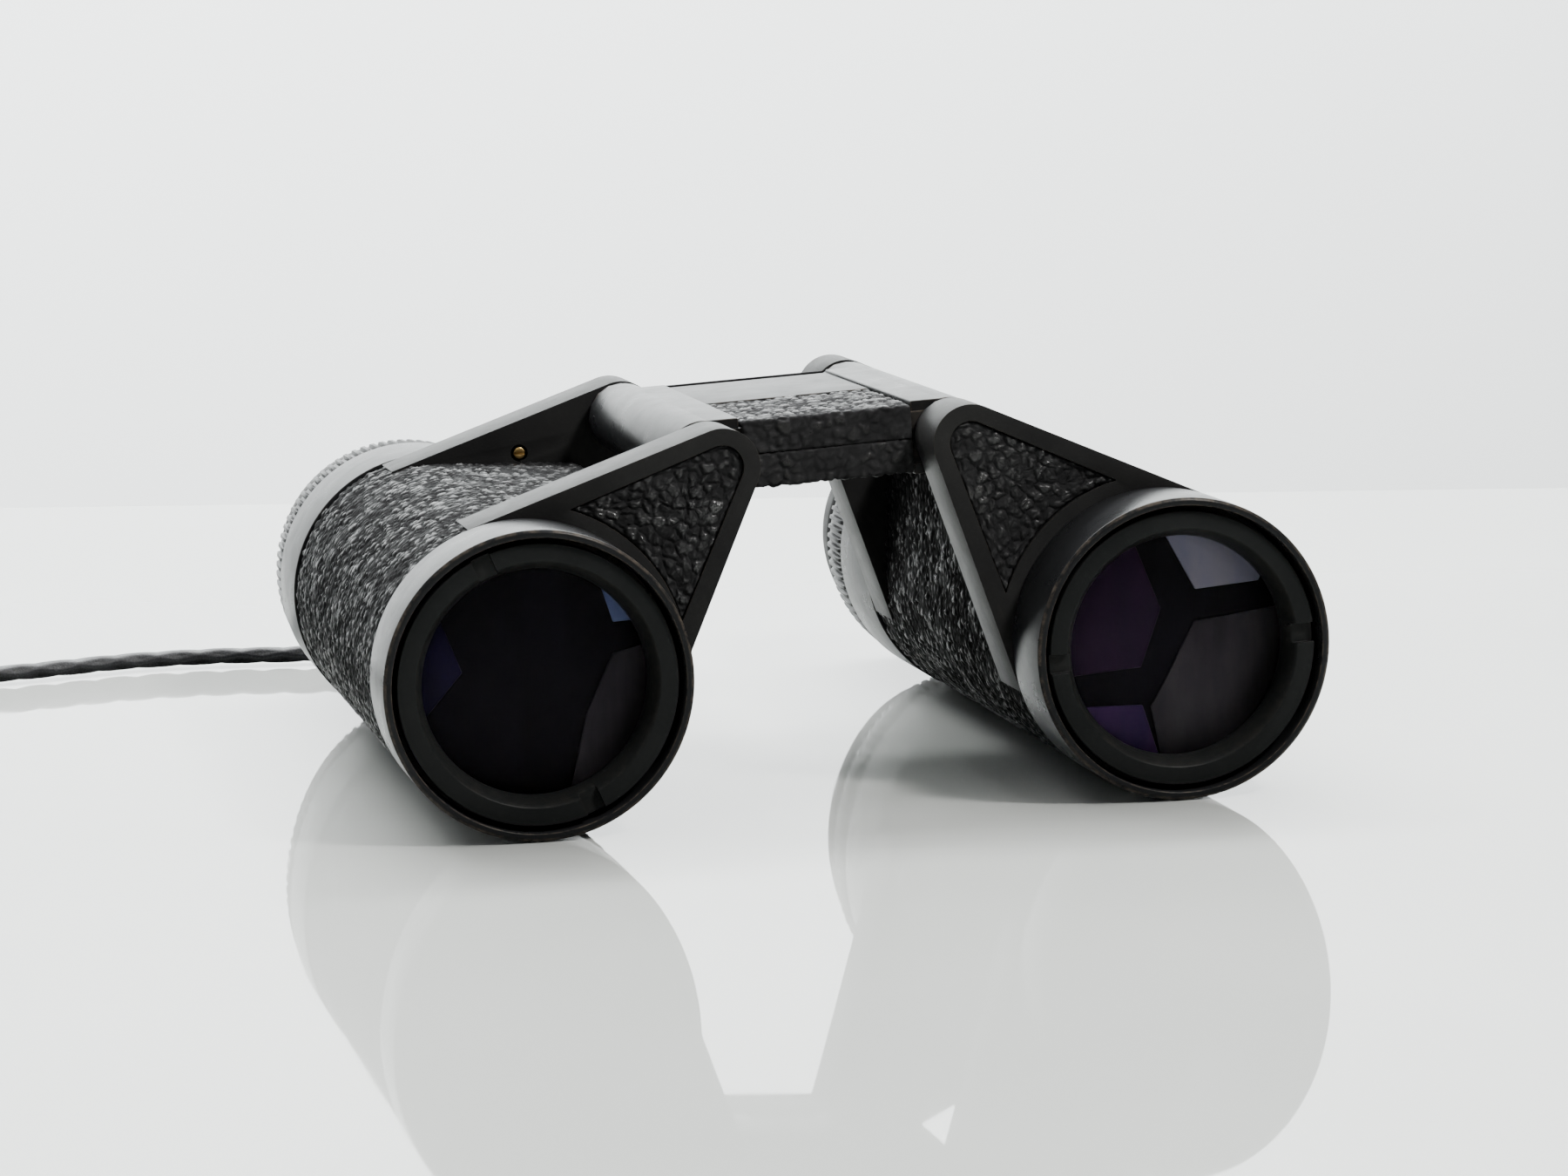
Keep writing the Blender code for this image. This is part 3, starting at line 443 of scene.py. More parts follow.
def prism_bm(points, y0, y1):
    bm = bmesh.new()
    low = [bm.verts.new(P(x, y0, z)) for x, z in points]
    high = [bm.verts.new(P(x, y1, z)) for x, z in points]
    bm.faces.new(low)
    bm.faces.new(high)
    for i in range(len(points)):
        k = (i + 1) % len(points)
        bm.faces.new((low[i], low[k], high[k], high[i]))
    bmesh.ops.recalc_face_normals(bm, faces=bm.faces[:])
    return bm


def evaluated_mesh(obj):
    graph = bpy.context.evaluated_depsgraph_get()
    graph.update()
    return bpy.data.meshes.new_from_object(obj.evaluated_get(graph))


def boolean(bm, *cuts):
    """Exact Booleans: cuts are (bmesh, operation)."""
    def temp(part, label):
        bmesh.ops.recalc_face_normals(part, faces=part.faces[:])
        me = bpy.data.meshes.new(label)
        part.to_mesh(me)
        part.free()
        obj = bpy.data.objects.new(label, me)
        bpy.context.scene.collection.objects.link(obj)
        return obj

    base = temp(bm, "tmp_base")
    others = []
    for cutter, operation in cuts:
        other = temp(cutter, "tmp_cut")
        mod = base.modifiers.new("cut", "BOOLEAN")
        mod.operation, mod.object, mod.solver = operation, other, "EXACT"
        others.append(other)
    me = evaluated_mesh(base)
    out = bmesh.new()
    out.from_mesh(me)
    bpy.data.meshes.remove(me)
    for obj in [base, *others]:
        old = obj.data
        bpy.data.objects.remove(obj)
        bpy.data.meshes.remove(old)
    bmesh.ops.remove_doubles(out, verts=out.verts[:], dist=2e-7)
    bmesh.ops.dissolve_degenerate(out, edges=out.edges[:], dist=1e-7)
    return out


def bevelled(name, bm, width=0.2, segments=3, angle=35.0, smooth=35.0):
    """Object from a bmesh with its sharp edges rounded, baked into the mesh."""
    obj = from_bmesh("tmp_" + name, bm, None)
    mod = obj.modifiers.new("edge", "BEVEL")
    mod.width, mod.segments, mod.limit_method = width * MM, segments, "ANGLE"
    mod.angle_limit, mod.use_clamp_overlap = math.radians(angle), True
    mod.harden_normals = False
    me = evaluated_mesh(obj)
    old = obj.data
    bpy.data.objects.remove(obj)
    bpy.data.meshes.remove(old)
    me.name = name
    me.shade_smooth()
    me.set_sharp_from_angle(angle=math.radians(smooth))
    new = bpy.data.objects.new(name, me)
    bpy.context.scene.collection.objects.link(new)
    return new


def joined(name, objs):
    """One object from several, keeping each mesh's sharp edges."""
    bm = bmesh.new()
    for o in objs:
        bm.from_mesh(o.data)
    me = bpy.data.meshes.new(name)
    bm.to_mesh(me)
    bm.free()
    for o in objs:
        old = o.data
        bpy.data.objects.remove(o)
        bpy.data.meshes.remove(old)
    new = bpy.data.objects.new(name, me)
    bpy.context.scene.collection.objects.link(new)
    return new


def set_wear(obj, where=None, strength=1.0):
    """Marks rounded edges, whose normals lie between the Y axis and across it."""
    me = obj.data
    n = len(me.vertices)
    no = np.array([v.normal for v in me.vertices], float).reshape(-1, 3)
    co = np.array([v.co for v in me.vertices], float).reshape(-1, 3)
    ny = np.abs(no[:, 1])
    w = np.clip(2.2 * np.minimum(ny, np.sqrt(np.clip(1 - ny * ny, 0, 1))) - 0.3, 0, 1) * strength
    if where is not None:
        w = w * where(co / MM - np.array([0.0, Y_SHIFT, 0.0]))
    a = me.attributes.new("wear", "FLOAT", "POINT")
    a.data.foreach_set("value", w.astype(np.float32))
    return obj


# ---------------------------------------------------------------- leather grain
class Grain:
    """Raised, rippled grain on a plane in millimetres, repeating every `period` along u."""

    def __init__(self, seed, size=0.92, period=256.0):
        rng = np.random.RandomState(seed)
        self.n = max(8, int(round(period / size)))
        self.period, self.size = period, size
        self.jx = rng.rand(self.n, 512)
        self.jy = rng.rand(self.n, 512)
        self.level = rng.rand(self.n, 512)
        self.n2 = max(8, int(round(period / (size * 0.52))))
        self.jx2, self.jy2 = rng.rand(self.n2, 512), rng.rand(self.n2, 512)
        self.lat = [rng.rand(512, 512) for _ in range(4)]

    def smooth(self, k, u, v, cell):
        n = max(4, int(round(self.period / cell)))
        x, y = u / self.period * n, v / cell
        ix, iy = np.floor(x).astype(int), np.floor(y).astype(int)
        fx, fy = x - ix, y - iy
        fx, fy = fx * fx * (3 - 2 * fx), fy * fy * (3 - 2 * fy)
        g = self.lat[k]
        a, b = g[ix % n % 512, iy % 512], g[(ix + 1) % n % 512, iy % 512]
        c, d = g[ix % n % 512, (iy + 1) % 512], g[(ix + 1) % n % 512, (iy + 1) % 512]
        return (a * (1 - fx) + b * fx) * (1 - fy) + (c * (1 - fx) + d * fx) * fy

    def cells(self, u, v, n, jx, jy, cell_v, level=None):
        x, y = u / self.period * n, v / cell_v
        ix, iy = np.floor(x).astype(int), np.floor(y).astype(int)
        f1, f2 = np.full(x.shape, 9.0), np.full(x.shape, 9.0)
        lv = np.zeros(x.shape)
        for dx in (-1, 0, 1):
            for dy in (-1, 0, 1):
                a, b = (ix + dx) % n, (iy + dy) % 512
                px = ix + dx + 0.5 + 0.86 * (jx[a, b] - 0.5)
                py = iy + dy + 0.5 + 0.86 * (jy[a, b] - 0.5)
                d = np.hypot(x - px, y - py)
                near = d < f1
                f2 = np.where(near, f1, np.minimum(f2, d))
                if level is not None:
                    lv = np.where(near, level[a, b], lv)
                f1 = np.where(near, d, f1)
        return f1, f2, lv

    def height(self, u, v):
        """0 in the creases to about 1 on the crests."""
        wu = u + 0.55 * (self.smooth(0, u, v, 0.8) - 0.5) + 0.22 * (self.smooth(1, u, v, 0.33) - 0.5)
        wv = v + 0.55 * (self.smooth(2, u, v, 0.8) - 0.5) + 0.22 * (self.smooth(3, u, v, 0.33) - 0.5)
        f1, f2, lv = self.cells(wu, wv, self.n, self.jx, self.jy, self.size, self.level)
        edge = np.clip((f2 - f1) / 0.86, 0, 1)
        dome = np.sin(edge * math.pi / 2) ** 0.75
        merge = np.clip((self.smooth(1, u, v, 1.5) - 0.35) * 2.6, 0, 1)
        dome = dome + (1 - dome) * 0.55 * merge
        g1, g2, _ = self.cells(wu, wv, self.n2, self.jx2, self.jy2, self.size * 0.52)
        small = np.clip((g2 - g1) / 0.5, 0, 1) ** 0.8
        h = dome * (0.62 + 0.38 * lv) * (0.74 + 0.26 * small)
        return np.clip(h, 0, 1.1)


GRAIN = Grain(11, 1.12, PERIMETER)
FLAT_GRAIN = Grain(23, 1.18, 240.0)


def set_relief(obj, values):
    a = obj.data.attributes.new("relief", "FLOAT", "POINT")
    a.data.foreach_set("value", np.asarray(values, np.float32).ravel())


def grid_faces(nu, nv, wrap):
    """Quads over rows of nu points, nv rows; wrap closes each row."""
    i = np.arange(nu if wrap else nu - 1)
    j = np.arange(nv - 1)
    I, J = np.meshgrid(i, j)
    K = (I + 1) % nu
    return np.stack([J * nu + I, J * nu + K, (J + 1) * nu + K, (J + 1) * nu + I], -1).reshape(-1, 4)


def wrap_leather(side, step):
    """Leatherette round a tube and over its ridge, with its ends turned down and a seam underneath."""
    name = side.name
    nu = int(round(PERIMETER / step))
    y = np.arange(FRONT_ARM[0] + 0.05, REAR_ARM[1] - 0.04, step)
    centre = (LEATHER_R - RIDGE_ROUND) * math.sqrt(2.0)
    line = [(centre + RIDGE_ROUND * math.cos(math.radians(t)), RIDGE_ROUND * math.sin(math.radians(t))) for t in np.linspace(-45, 45, 13)]
    line += [(LEATHER_R * math.cos(math.radians(t)), LEATHER_R * math.sin(math.radians(t))) for t in np.linspace(45, 315, 271)]
    ab = resample(line, nu)
    tan = np.roll(ab, -1, 0) - np.roll(ab, 1, 0)
    tan /= np.hypot(*tan.T)[:, None]
    nor = np.stack([tan[:, 1], -tan[:, 0]], -1)
    phi = np.arctan2(ab[:, 1], ab[:, 0])
    ring = np.stack([np.cos(phi), np.sin(phi)], -1)
    u = PERIMETER * np.arange(nu) / nu
    U, Y = np.meshgrid(u, y)
    h = GRAIN.height(U, Y + (0.0 if side is LEFT else 37.0))
    seam_at = math.radians(-143.2 if side is LEFT else -147.0)
    off = np.angle(np.exp(1j * (phi - seam_at))) * LEATHER_R
    lift = -0.43 + 0.47 * h - 0.35 * np.exp(-(off / 0.16) ** 2)[None]
    ends = np.minimum(Y - y[0], y[-1] - Y)
    lift = lift - 0.25 * np.clip(1 - ends / 0.35, 0, 1) ** 2
    ridged = ((y > FRONT_ARM[1] - 1.6) & (y < REAR_ARM[0] + 1.6))[:, None, None]
    flat = np.where(ridged, ab[None] + nor[None] * lift[..., None], ring[None] * (LEATHER_R + lift)[..., None])
    flat = np.concatenate([ring[None] * 14.2, flat, ring[None] * 14.2])
    rows_y = np.concatenate([y[:1], y, y[-1:]])
    a, b = flat[..., 0], flat[..., 1]
    x = a * side.c - b * side.s
    X = side.cx + (-x if side.mirror else x)
    Z = AXIS_Z + a * side.s + b * side.c
    verts = np.stack([X * MM, np.broadcast_to((rows_y + Y_SHIFT)[:, None], X.shape) * MM, Z * MM], -1).reshape(-1, 3)
    faces = grid_faces(nu, len(rows_y), True)
    if not side.mirror:
        faces = faces[:, ::-1]
    obj = from_arrays(name + "_leather_wrap", verts, faces, None)
    set_relief(obj, np.concatenate([np.zeros(nu), h.ravel(), np.zeros(nu)]))
    return place(obj, M["wrap"], name + "_barrel", [name + "_barrel_leather"])


# ---------------------------------------------------------------- arm outlines
BETA = math.acos((HULL_R - ARM_R) / ARM)


def arm_outline(grow=0.0, steps=40):
    pts = []
    for k in range(steps + 1):
        t = -BETA + 2 * BETA * k / steps
        pts.append((ARM + (ARM_R + grow) * math.cos(t), (ARM_R + grow) * math.sin(t)))
    r = HULL_R + grow
    back = grow / math.tan(BETA / 2) if grow else 0.0
    for sign in (1, -1):
        n = (math.cos(BETA), sign * math.sin(BETA))
        t = (-math.sin(BETA), sign * math.cos(BETA))
        pts.append((n[0] * r + t[0] * back, n[1] * r + t[1] * back))
    return pts


def inlay_outline(shrink=0.0, steps=24):
    r_apex, r_flank, r_cut = ARM_R - INSET + 0.3 - shrink, HULL_R - INSET - shrink, INLAY_CUT_R + shrink
    pts = []
    for k in range(steps + 1):
        t = -BETA + 2 * BETA * k / steps
        pts.append((ARM + r_apex * math.cos(t), r_apex * math.sin(t)))
    s = math.sqrt(r_cut * r_cut - r_flank * r_flank)
    corner = (r_flank * math.cos(BETA) + s * math.sin(BETA), r_flank * math.sin(BETA) - s * math.cos(BETA))
    half = math.atan2(corner[1], corner[0])
    for k in range(steps + 1):
        t = half - 2 * half * k / steps
        pts.append((r_cut * math.cos(t), r_cut * math.sin(t)))
    return fillet(pts, 1.5, 8, 30.0)


def resample(points, count):
    """Evenly spaced points on a closed outline."""
    p = np.array(points + [points[0]], float)
    seg = np.hypot(*np.diff(p, axis=0).T)
    s = np.concatenate([[0], np.cumsum(seg)])
    t = np.linspace(0, s[-1], count, endpoint=False)
    return np.stack([np.interp(t, s, p[:, 0]), np.interp(t, s, p[:, 1])], -1)


def inlay_leather(side, label, y_face, sign, step, node):
    """Pebbled leather in an arm's recess. sign is -1 when it faces the objectives."""
    outer = resample(inlay_outline(0.05), int(46 / step))
    centre = np.array([(INLAY_CUT_R + ARM + ARM_R) / 2 - 1.6, 0.0])
    reach = np.hypot(*(outer - centre).T).max()
    n = len(outer)
    rings = int(reach / step)
    s = np.linspace(1.0, 0.02, rings)
    ab = centre + (outer - centre)[None] * s[:, None, None]
    shift = {"left_front": 0, "right_front": 31, "left_rear": 67, "right_rear": 101}[label]
    h = FLAT_GRAIN.height(ab[..., 0] + shift, ab[..., 1] + 60.0)
    edge_gap = np.hypot(*(outer - centre).T)[None] * (1 - s[:, None])
    dome = np.clip(1 - edge_gap / 0.30, 0, 1) ** 2
    level = 0.0 + 0.50 * (1 - h) + 0.22 * dome
    rows_ab = np.concatenate([ab[:1], ab])
    rows_y = np.concatenate([np.full((1, n), 1.15), level])
    a, b = rows_ab[..., 0], rows_ab[..., 1]
    x = a * side.c - b * side.s
    X = side.cx + (-x if side.mirror else x)
    Z = AXIS_Z + a * side.s + b * side.c
    Y = y_face - sign * rows_y
    verts = np.stack([X * MM, (Y + Y_SHIFT) * MM, Z * MM], -1).reshape(-1, 3)
    faces = grid_faces(n, len(rows_y), True)
    quads = [tuple(f) for f in faces]
    last = (len(rows_y) - 1) * n
    quads.append(tuple(range(last, last + n)))
    bm = bmesh.new()
    bv = [bm.verts.new(v) for v in verts]
    for f in quads:
        bm.faces.new([bv[i] for i in f])
    bmesh.ops.recalc_face_normals(bm, faces=bm.faces[:])
    face = bm.faces[-1] if False else None
    me = bpy.data.meshes.new(side.name + "_" + label)
    bm.to_mesh(me)
    bm.free()
    probe = Vector((0, 0, 0))
    for poly in me.polygons[:200]:
        probe += poly.normal
    total = sum((p.normal.y * p.area for p in me.polygons))
    if total * sign < 0:
        me.flip_normals()
    me.shade_smooth()
    obj = bpy.data.objects.new(label + "_arm_inlay", me)
    bpy.context.scene.collection.objects.link(obj)
    set_relief(obj, np.concatenate([np.zeros((1, n)), h]).ravel())
    return place(obj, M["leather"], side.name + "_barrel", [node])


def arm_plate(side, y0, y1, inlay_face, screw=False):
    """One cast arm: flat plate with rounded edges and a recess for its leather."""
    outline = [side.to_world(a, b) for a, b in arm_outline()]
    plate = prism_bm(outline, y0, y1)
    cuts = [(turned_bm([(y0 - 4, 0), (y0 - 4, 13.5), (y1 + 4, 13.5), (y1 + 4, 0)], side.cx, AXIS_Z, 120, 0.5), "DIFFERENCE")]
    field = [side.to_world(a, b) for a, b in inlay_outline()]
    lo, hi = (y0 - 3.0, y0 + 1.2) if inlay_face < 0 else (y1 - 1.2, y1 + 3.0)
    cuts.append((prism_bm(field, lo, hi), "DIFFERENCE"))
    if screw:
        sx, sz = side.to_world(17.1, 5.2)
        cuts.append((turned_bm([(y0 - 1, 0), (y0 - 1, 0.92), (y0 + 3.3, 0.92), (y0 + 3.3, 0)], sx, sz, 32), "DIFFERENCE"))
    return bevelled("arm", boolean(plate, *cuts), 0.22, 3)


def rim_arc(a0, a1, steps=14, r=1.08):
    """Points on a circle, in units of the clear glass radius."""
    return [(r * math.cos(math.radians(a0 + (a1 - a0) * k / steps)), r * math.sin(math.radians(a0 + (a1 - a0) * k / steps))) for k in range(steps + 1)]


def build_painted_light_sheets(side):
    """Painted reflections: coloured sheets behind the objective that copy the reflections seen in the lens, in units of
    the clear radius, with a near-black disc behind them as painted shade.
    """
    if side is RIGHT:
        faces = [
            ("painted_reflection_lilac", [(0.23, 0.49), (0.84, 0.54)] + rim_arc(36, 95)),
            ("painted_reflection_brown", [(-0.07, -0.35), (-0.20, -0.57)] + rim_arc(-95, 16) + [(0.22, 0.20)]),
            ("painted_reflection_plum", [(-0.10, 0.33), (-0.35, 0.95)] + rim_arc(115, 194) + [(-0.29, -0.20)]),
            ("painted_reflection_violet", [(-0.28, -0.55)] + rim_arc(210, 264)),
        ]
    else:
        faces = [
            ("painted_reflection_blue", [(0.71, 0.48), (0.90, 0.49)] + rim_arc(32, 58)),
            ("painted_reflection_brown", [(0.45, -0.33)] + rim_arc(-74, 15) + [(0.70, 0.20)]),
            ("painted_reflection_deep", [(-0.65, 0.10), (-0.85, 0.62)] + rim_arc(148, 198)),
        ]
    unit, dx, dz = 10.9, 0.65, -0.4
    for i, (look, pts) in enumerate(faces):
        out = []
        for x, z in pts:
            x, z = x * unit + dx, z * unit + dz
            k = min(1.0, 12.1 / math.hypot(x, z))
            out.append((side.cx + x * k, AXIS_Z + z * k))
        # Painted reflection: each sheet's colour copies a patch of reflected light in the lens, not a lit prism face.
        piece = bevelled("%s_prism_face_%d" % (side.name, i + 1), prism_bm(out, 6.5, 6.8), 0.1, 2, 50.0)
        place(piece, M[look], side.name + "_barrel", ())
    # Painted shade: a near-black disc stands in for the dark inside of the barrel behind the sheets.
    back = from_bmesh(side.name + "_prism_backing", turned_bm(fillet([(6.85, 0), (6.85, 12.15), (7.2, 12.15), (7.2, 0)], 0.1, 2, closed=False), side.cx, AXIS_Z, 96), 30)
    place(back, M["painted_shade_black"], side.name + "_barrel", ())


def build_barrel(side, step):
    n, cx = side.name, side.cx
    body = n + "_barrel"
    hx, hz = side.hinge
    tube = from_bmesh("tube", turned_bm([(4.2, 13.55), (4.2, TUBE_R), (74.0, TUBE_R), (74.0, 12.75), (14.5, 12.75), (14.5, 13.55)], cx, AXIS_Z, 96))
    front = arm_plate(side, FRONT_ARM[0], FRONT_ARM[1], -1)
    rear = arm_plate(side, REAR_ARM[0], REAR_ARM[1], 1, True)
    arms = joined(n + "_arms_and_tube", [tube, front, rear])
    arms.data.shade_smooth()
    arms.data.set_sharp_from_angle(angle=math.radians(38))

    def apex(co):
        d = np.hypot(co[:, 0] - hx, co[:, 2] - hz)
        return np.clip(1.25 - d / 26.0, 0.25, 1.0) * (co[:, 1] < 9.9) + 0.35 * (co[:, 1] >= 9.9)

    set_wear(arms, apex)
    place(arms, M["arm"], body, [n + "_barrel_body"])
    wrap_leather(side, step)
    inlay_leather(side, n + "_front", FRONT_ARM[0], -1, 0.16, n + "_front_arm_leather")
    inlay_leather(side, n + "_rear", REAR_ARM[1], 1, 0.2, n + "_rear_arm_leather")

    rim_profile = [(0.0, 14.28), (0.0, 14.72), (0.22, 15.0), (9.1, 15.0), (9.1, 14.35), (3.9, 14.35), (3.9, 14.2), (0.12, 14.2)]
    rim = from_bmesh(n + "_rim_band", turned_bm(fillet(rim_profile, 0.1, 3), cx, AXIS_Z, 200), 40)
    set_wear(rim, lambda co: (co[:, 1] < 0.3) * 0.45 + 0.1 * (co[:, 1] > 8.5))
    place(rim, M["band"], body, [n + "_objective_rim"])

    ring_profile = [(0.7, 11.85), (0.7, 13.6), (3.5, 13.6), (3.5, 11.0), (3.15, 10.92), (2.3, 11.02), (1.05, 11.6)]
    slot_deg = 113.0 if side is LEFT else 4.0
    c, s = math.cos(math.radians(slot_deg)), math.sin(math.radians(slot_deg))
    box = [(u * c - v * s + cx, u * s + v * c + AXIS_Z) for u, v in ((-15, -0.95), (15, -0.95), (15, 0.95), (-15, 0.95))]
    ring = bevelled(n + "_slotted_ring", boolean(turned_bm(fillet(ring_profile, 0.09, 2), cx, AXIS_Z, 180, 0.5), (prism_bm(box, 0.0, 1.35), "DIFFERENCE")), 0.06, 1, 50)
    set_wear(ring, None, 0.06)
    place(ring, M["ring"], body, [n + "_objective_ring"])

    baffles = []
    for k in range(9):
        y = 9.9 + 0.46 * k
        baffles += [(y, 11.05), (y + 0.23, 11.35)]
    cell_profile = [(3.8, 12.3), (3.8, 13.25), (14.2, 13.25), (14.2, 11.05)] + baffles[::-1] + [(9.6, 11.05), (9.6, 12.3)]
    place(from_bmesh(n + "_lens_cell", turned_bm(cell_profile, cx, AXIS_Z, 120), 30), M["inner"], body, [n + "_objective_cell"])

    # Cemented doublet, seen as one thick lens.
    front_r = 74.0
    pts = []
    for k in range(25):
        r = 12.0 * k / 24
        pts.append((4.0 + front_r - math.sqrt(front_r ** 2 - r * r), r))
    pts += [(5.1, 12.0), (6.1, 12.0)]
    for k in range(24, -1, -1):
        r = 12.0 * k / 24
        pts.append((6.2 - 0.02 * (r / 12.0) ** 2, r))
    lens = from_bmesh(n + "_objective_doublet", turned_bm(pts, cx, AXIS_Z, 120), 25)
    place(lens, M["lens"], body, [n + "_objective_crown", n + "_objective_flint"])

    build_painted_light_sheets(side)

    collar_profile = [(67.75, 14.35), (67.75, 15.0), (80.0, 15.0), (80.8, 14.6), (80.8, 13.2), (74.3, 13.2), (74.3, 14.35)]
    collar = from_bmesh(n + "_collar", turned_bm(fillet(collar_profile, 0.14, 3), cx, AXIS_Z, 200), 40)
    set_wear(collar, None, 0.25)
    place(collar, M["band"], body, [n + "_rear_collar"])

    # Ribbed focusing ring.
    ribs = 84
    y0, y1 = RING_Y

    def rib(y, r, ang):
        t = (y - y0) / (y1 - y0)
        if r < 13.1 or t < 0.06 or t > 0.86:
            return 0.0
        rise = min(1.0, (t - 0.06) / 0.05, (0.86 - t) / 0.10)
        wave = np.clip(0.5 + 1.1 * np.cos(ang * ribs), 0, 1)
        return 0.42 * max(rise, 0.0) * wave

    ring_profile = [(y0, 12.9), (y0, 14.3), (y0 + 0.25, 14.42), (y0 + 0.62, 14.42), (y0 + 0.9, 14.40), (y0 + 1.25, 14.38), (y0 + 3.5, 14.3), (y0 + 6.4, 14.15), (y0 + 7.6, 14.0), (y0 + 8.3, 13.9), (y0 + 8.9, 13.8), (y1 - 0.5, 13.5), (y1 - 0.12, 13.3), (y1, 13.1), (y1, 11.6), (y1 - 0.1, 11.5), (y0 + 7.8, 11.5), (y0 + 7.8, 12.9)]
    fr = from_bmesh(n + "_ribbed_ring", turned_bm(ring_profile, cx, AXIS_Z, ribs * 6, 0.0, rib), 35)
    set_wear(fr, None, 0.15)
    place(fr, M["satin"], n + "_focus", [n + "_focus_ring"])

    tube_profile = [(76.5, 9.2), (76.5, 12.4), (86.4, 12.4), (86.4, 11.1), (96.2, 11.1), (96.2, 8.4), (95.7, 7.9), (95.2, 8.3), (95.2, 9.2)]
    place(from_bmesh(n + "_ocular_body", turned_bm(fillet(tube_profile, 0.12, 2), cx, AXIS_Z, 120), 40), M["ring"], n + "_ocular", [n + "_ocular_tube"])

    def lens_shape(y_front, y_edge0, y_edge1, y_back, r):
        q = [(y_front + (y_edge0 - y_front) * (k / 16) ** 2, r * k / 16) for k in range(17)]
        q += [(y_back + (y_edge1 - y_back) * (k / 16) ** 2, r * k / 16) for k in range(16, -1, -1)]
        return q

    place(from_bmesh(n + "_field_glass", turned_bm(lens_shape(78.4, 79.8, 82.0, 82.8, 8.85), cx, AXIS_Z, 96), 25), M["eye"], n + "_ocular", [n + "_field_lens"])
    place(from_bmesh(n + "_eye_glass", turned_bm(lens_shape(89.4, 90.8, 93.4, 94.9, 8.85), cx, AXIS_Z, 96), 25), M["eye"], n + "_ocular", [n + "_eye_lens"])

    cup_profile = [(92.6, 11.45), (92.6, 13.0), (93.3, 13.35), (95.6, 13.2), (97.9, 12.75), (98.6, 12.1), (98.6, 11.0), (98.2, 10.5), (97.3, 10.0), (96.7, 9.6), (96.6, 11.45)]
    cup_profile = fillet(cup_profile, 0.3, 4, 12.0)

    def grooves(y, r, ang):
        return 0.0

    cup = from_bmesh(n + "_rubber_cup", turned_bm(cup_profile, cx, AXIS_Z, 144, 0.0), 40)
    place(cup, M["rubber"], n + "_cup", [n + "_eyecup"])

    sx, sz = side.to_world(17.1, 5.2)
    screw = boolean(turned_bm(fillet([(60.0, 0), (60.0, 0.62), (63.2, 0.62), (63.2, 0)], 0.1, 2, closed=False), sx, sz, 40), (prism_bm([(sx - 1.5, sz - 0.15), (sx + 1.5, sz - 0.15), (sx + 1.5, sz + 0.15), (sx - 1.5, sz + 0.15)], 58.0, 60.35), "DIFFERENCE"))
    place(bevelled(n + "_brass_grub", screw, 0.04, 2), M["brass"], body, [n + "_grub_screw"])


# ---------------------------------------------------------------- bridge
def on_bridge(points):
    return [bridge(p, q) for p, q in points]


def slab(p0, p1, q0, q1):
    return on_bridge([(p0, q0), (p1, q0), (p1, q1), (p0, q1)])


def knuckle(hx, hz):
    y0, y1 = KNUCKLE_Y
    return from_bmesh("knuckle", turned_bm(fillet([(y0, 0), (y0, KNUCKLE_R), (y1, KNUCKLE_R), (y1, 0)], 0.25, 3, closed=False), hx, hz, 96), 40)


def bridge_leather(name, sign, node):
    """Half of the front face and the front part of a broad face, in one skin."""
    edge, r = BLOCK_HALF - 0.05, 0.45
    step = 0.16
    front_len = COVER_T - 0.03 - r
    arc = r * math.pi / 2
    top_len = TOP_LEATHER_END - 17.0 - r
    total = front_len + arc + top_len
    s = np.concatenate([[-0.25], np.arange(0, total, step), [total, total + 0.25]])
    p = np.concatenate([[-edge - 0.001], np.arange(-edge, edge, step), [edge, edge + 0.001]])
    S, Pp = np.meshgrid(s, p, indexing="ij")
    Sc = np.clip(S, 0, total)
    q = np.where(Sc < front_len, 0.03 + Sc, np.where(Sc < front_len + arc, 0.03 + front_len + r * np.sin((Sc - front_len) / r), COVER_T))
    y = np.where(Sc < front_len, 17.0, np.where(Sc < front_len + arc, 17.0 + r * (1 - np.cos(np.clip(Sc - front_len, 0, arc) / r)), 17.0 + r + (Sc - front_len - arc)))
    ang = np.clip((Sc - front_len) / r, 0, math.pi / 2)
    nq, ny = np.sin(ang), -np.cos(ang)
    h = FLAT_GRAIN.height(Pp + 140.0, Sc + (200.0 if sign > 0 else 250.0))
    rim = np.minimum.reduce([np.clip(Sc / 0.16, 0, 1), np.clip((total - Sc) / 0.2, 0, 1), np.clip((edge - np.abs(Pp)) / 0.2, 0, 1)])
    lift = (0.44 * h - 0.30) * rim - 0.24 * (1 - rim)
    low = (S < 0) | (S > total) | (np.abs(Pp) > edge)
    lift = np.where(low, -0.55, lift)
    q, y = q + nq * lift, y + ny * lift
    c, sn = math.cos(TILT), math.sin(TILT)
    Q = q * sign
    X = MID[0] + Pp * c - Q * sn
    Z = MID[1] + Pp * sn + Q * c
    verts = np.stack([X * MM, (y + Y_SHIFT) * MM, Z * MM], -1).reshape(-1, 3)
    faces = grid_faces(len(p), len(s), False)
    if sign < 0:
        faces = faces[:, ::-1]
    obj = from_arrays(name, verts, faces, None)
    set_relief(obj, np.where(low, 0, h))
    return place(obj, M["bridge"], "bridge", [node])


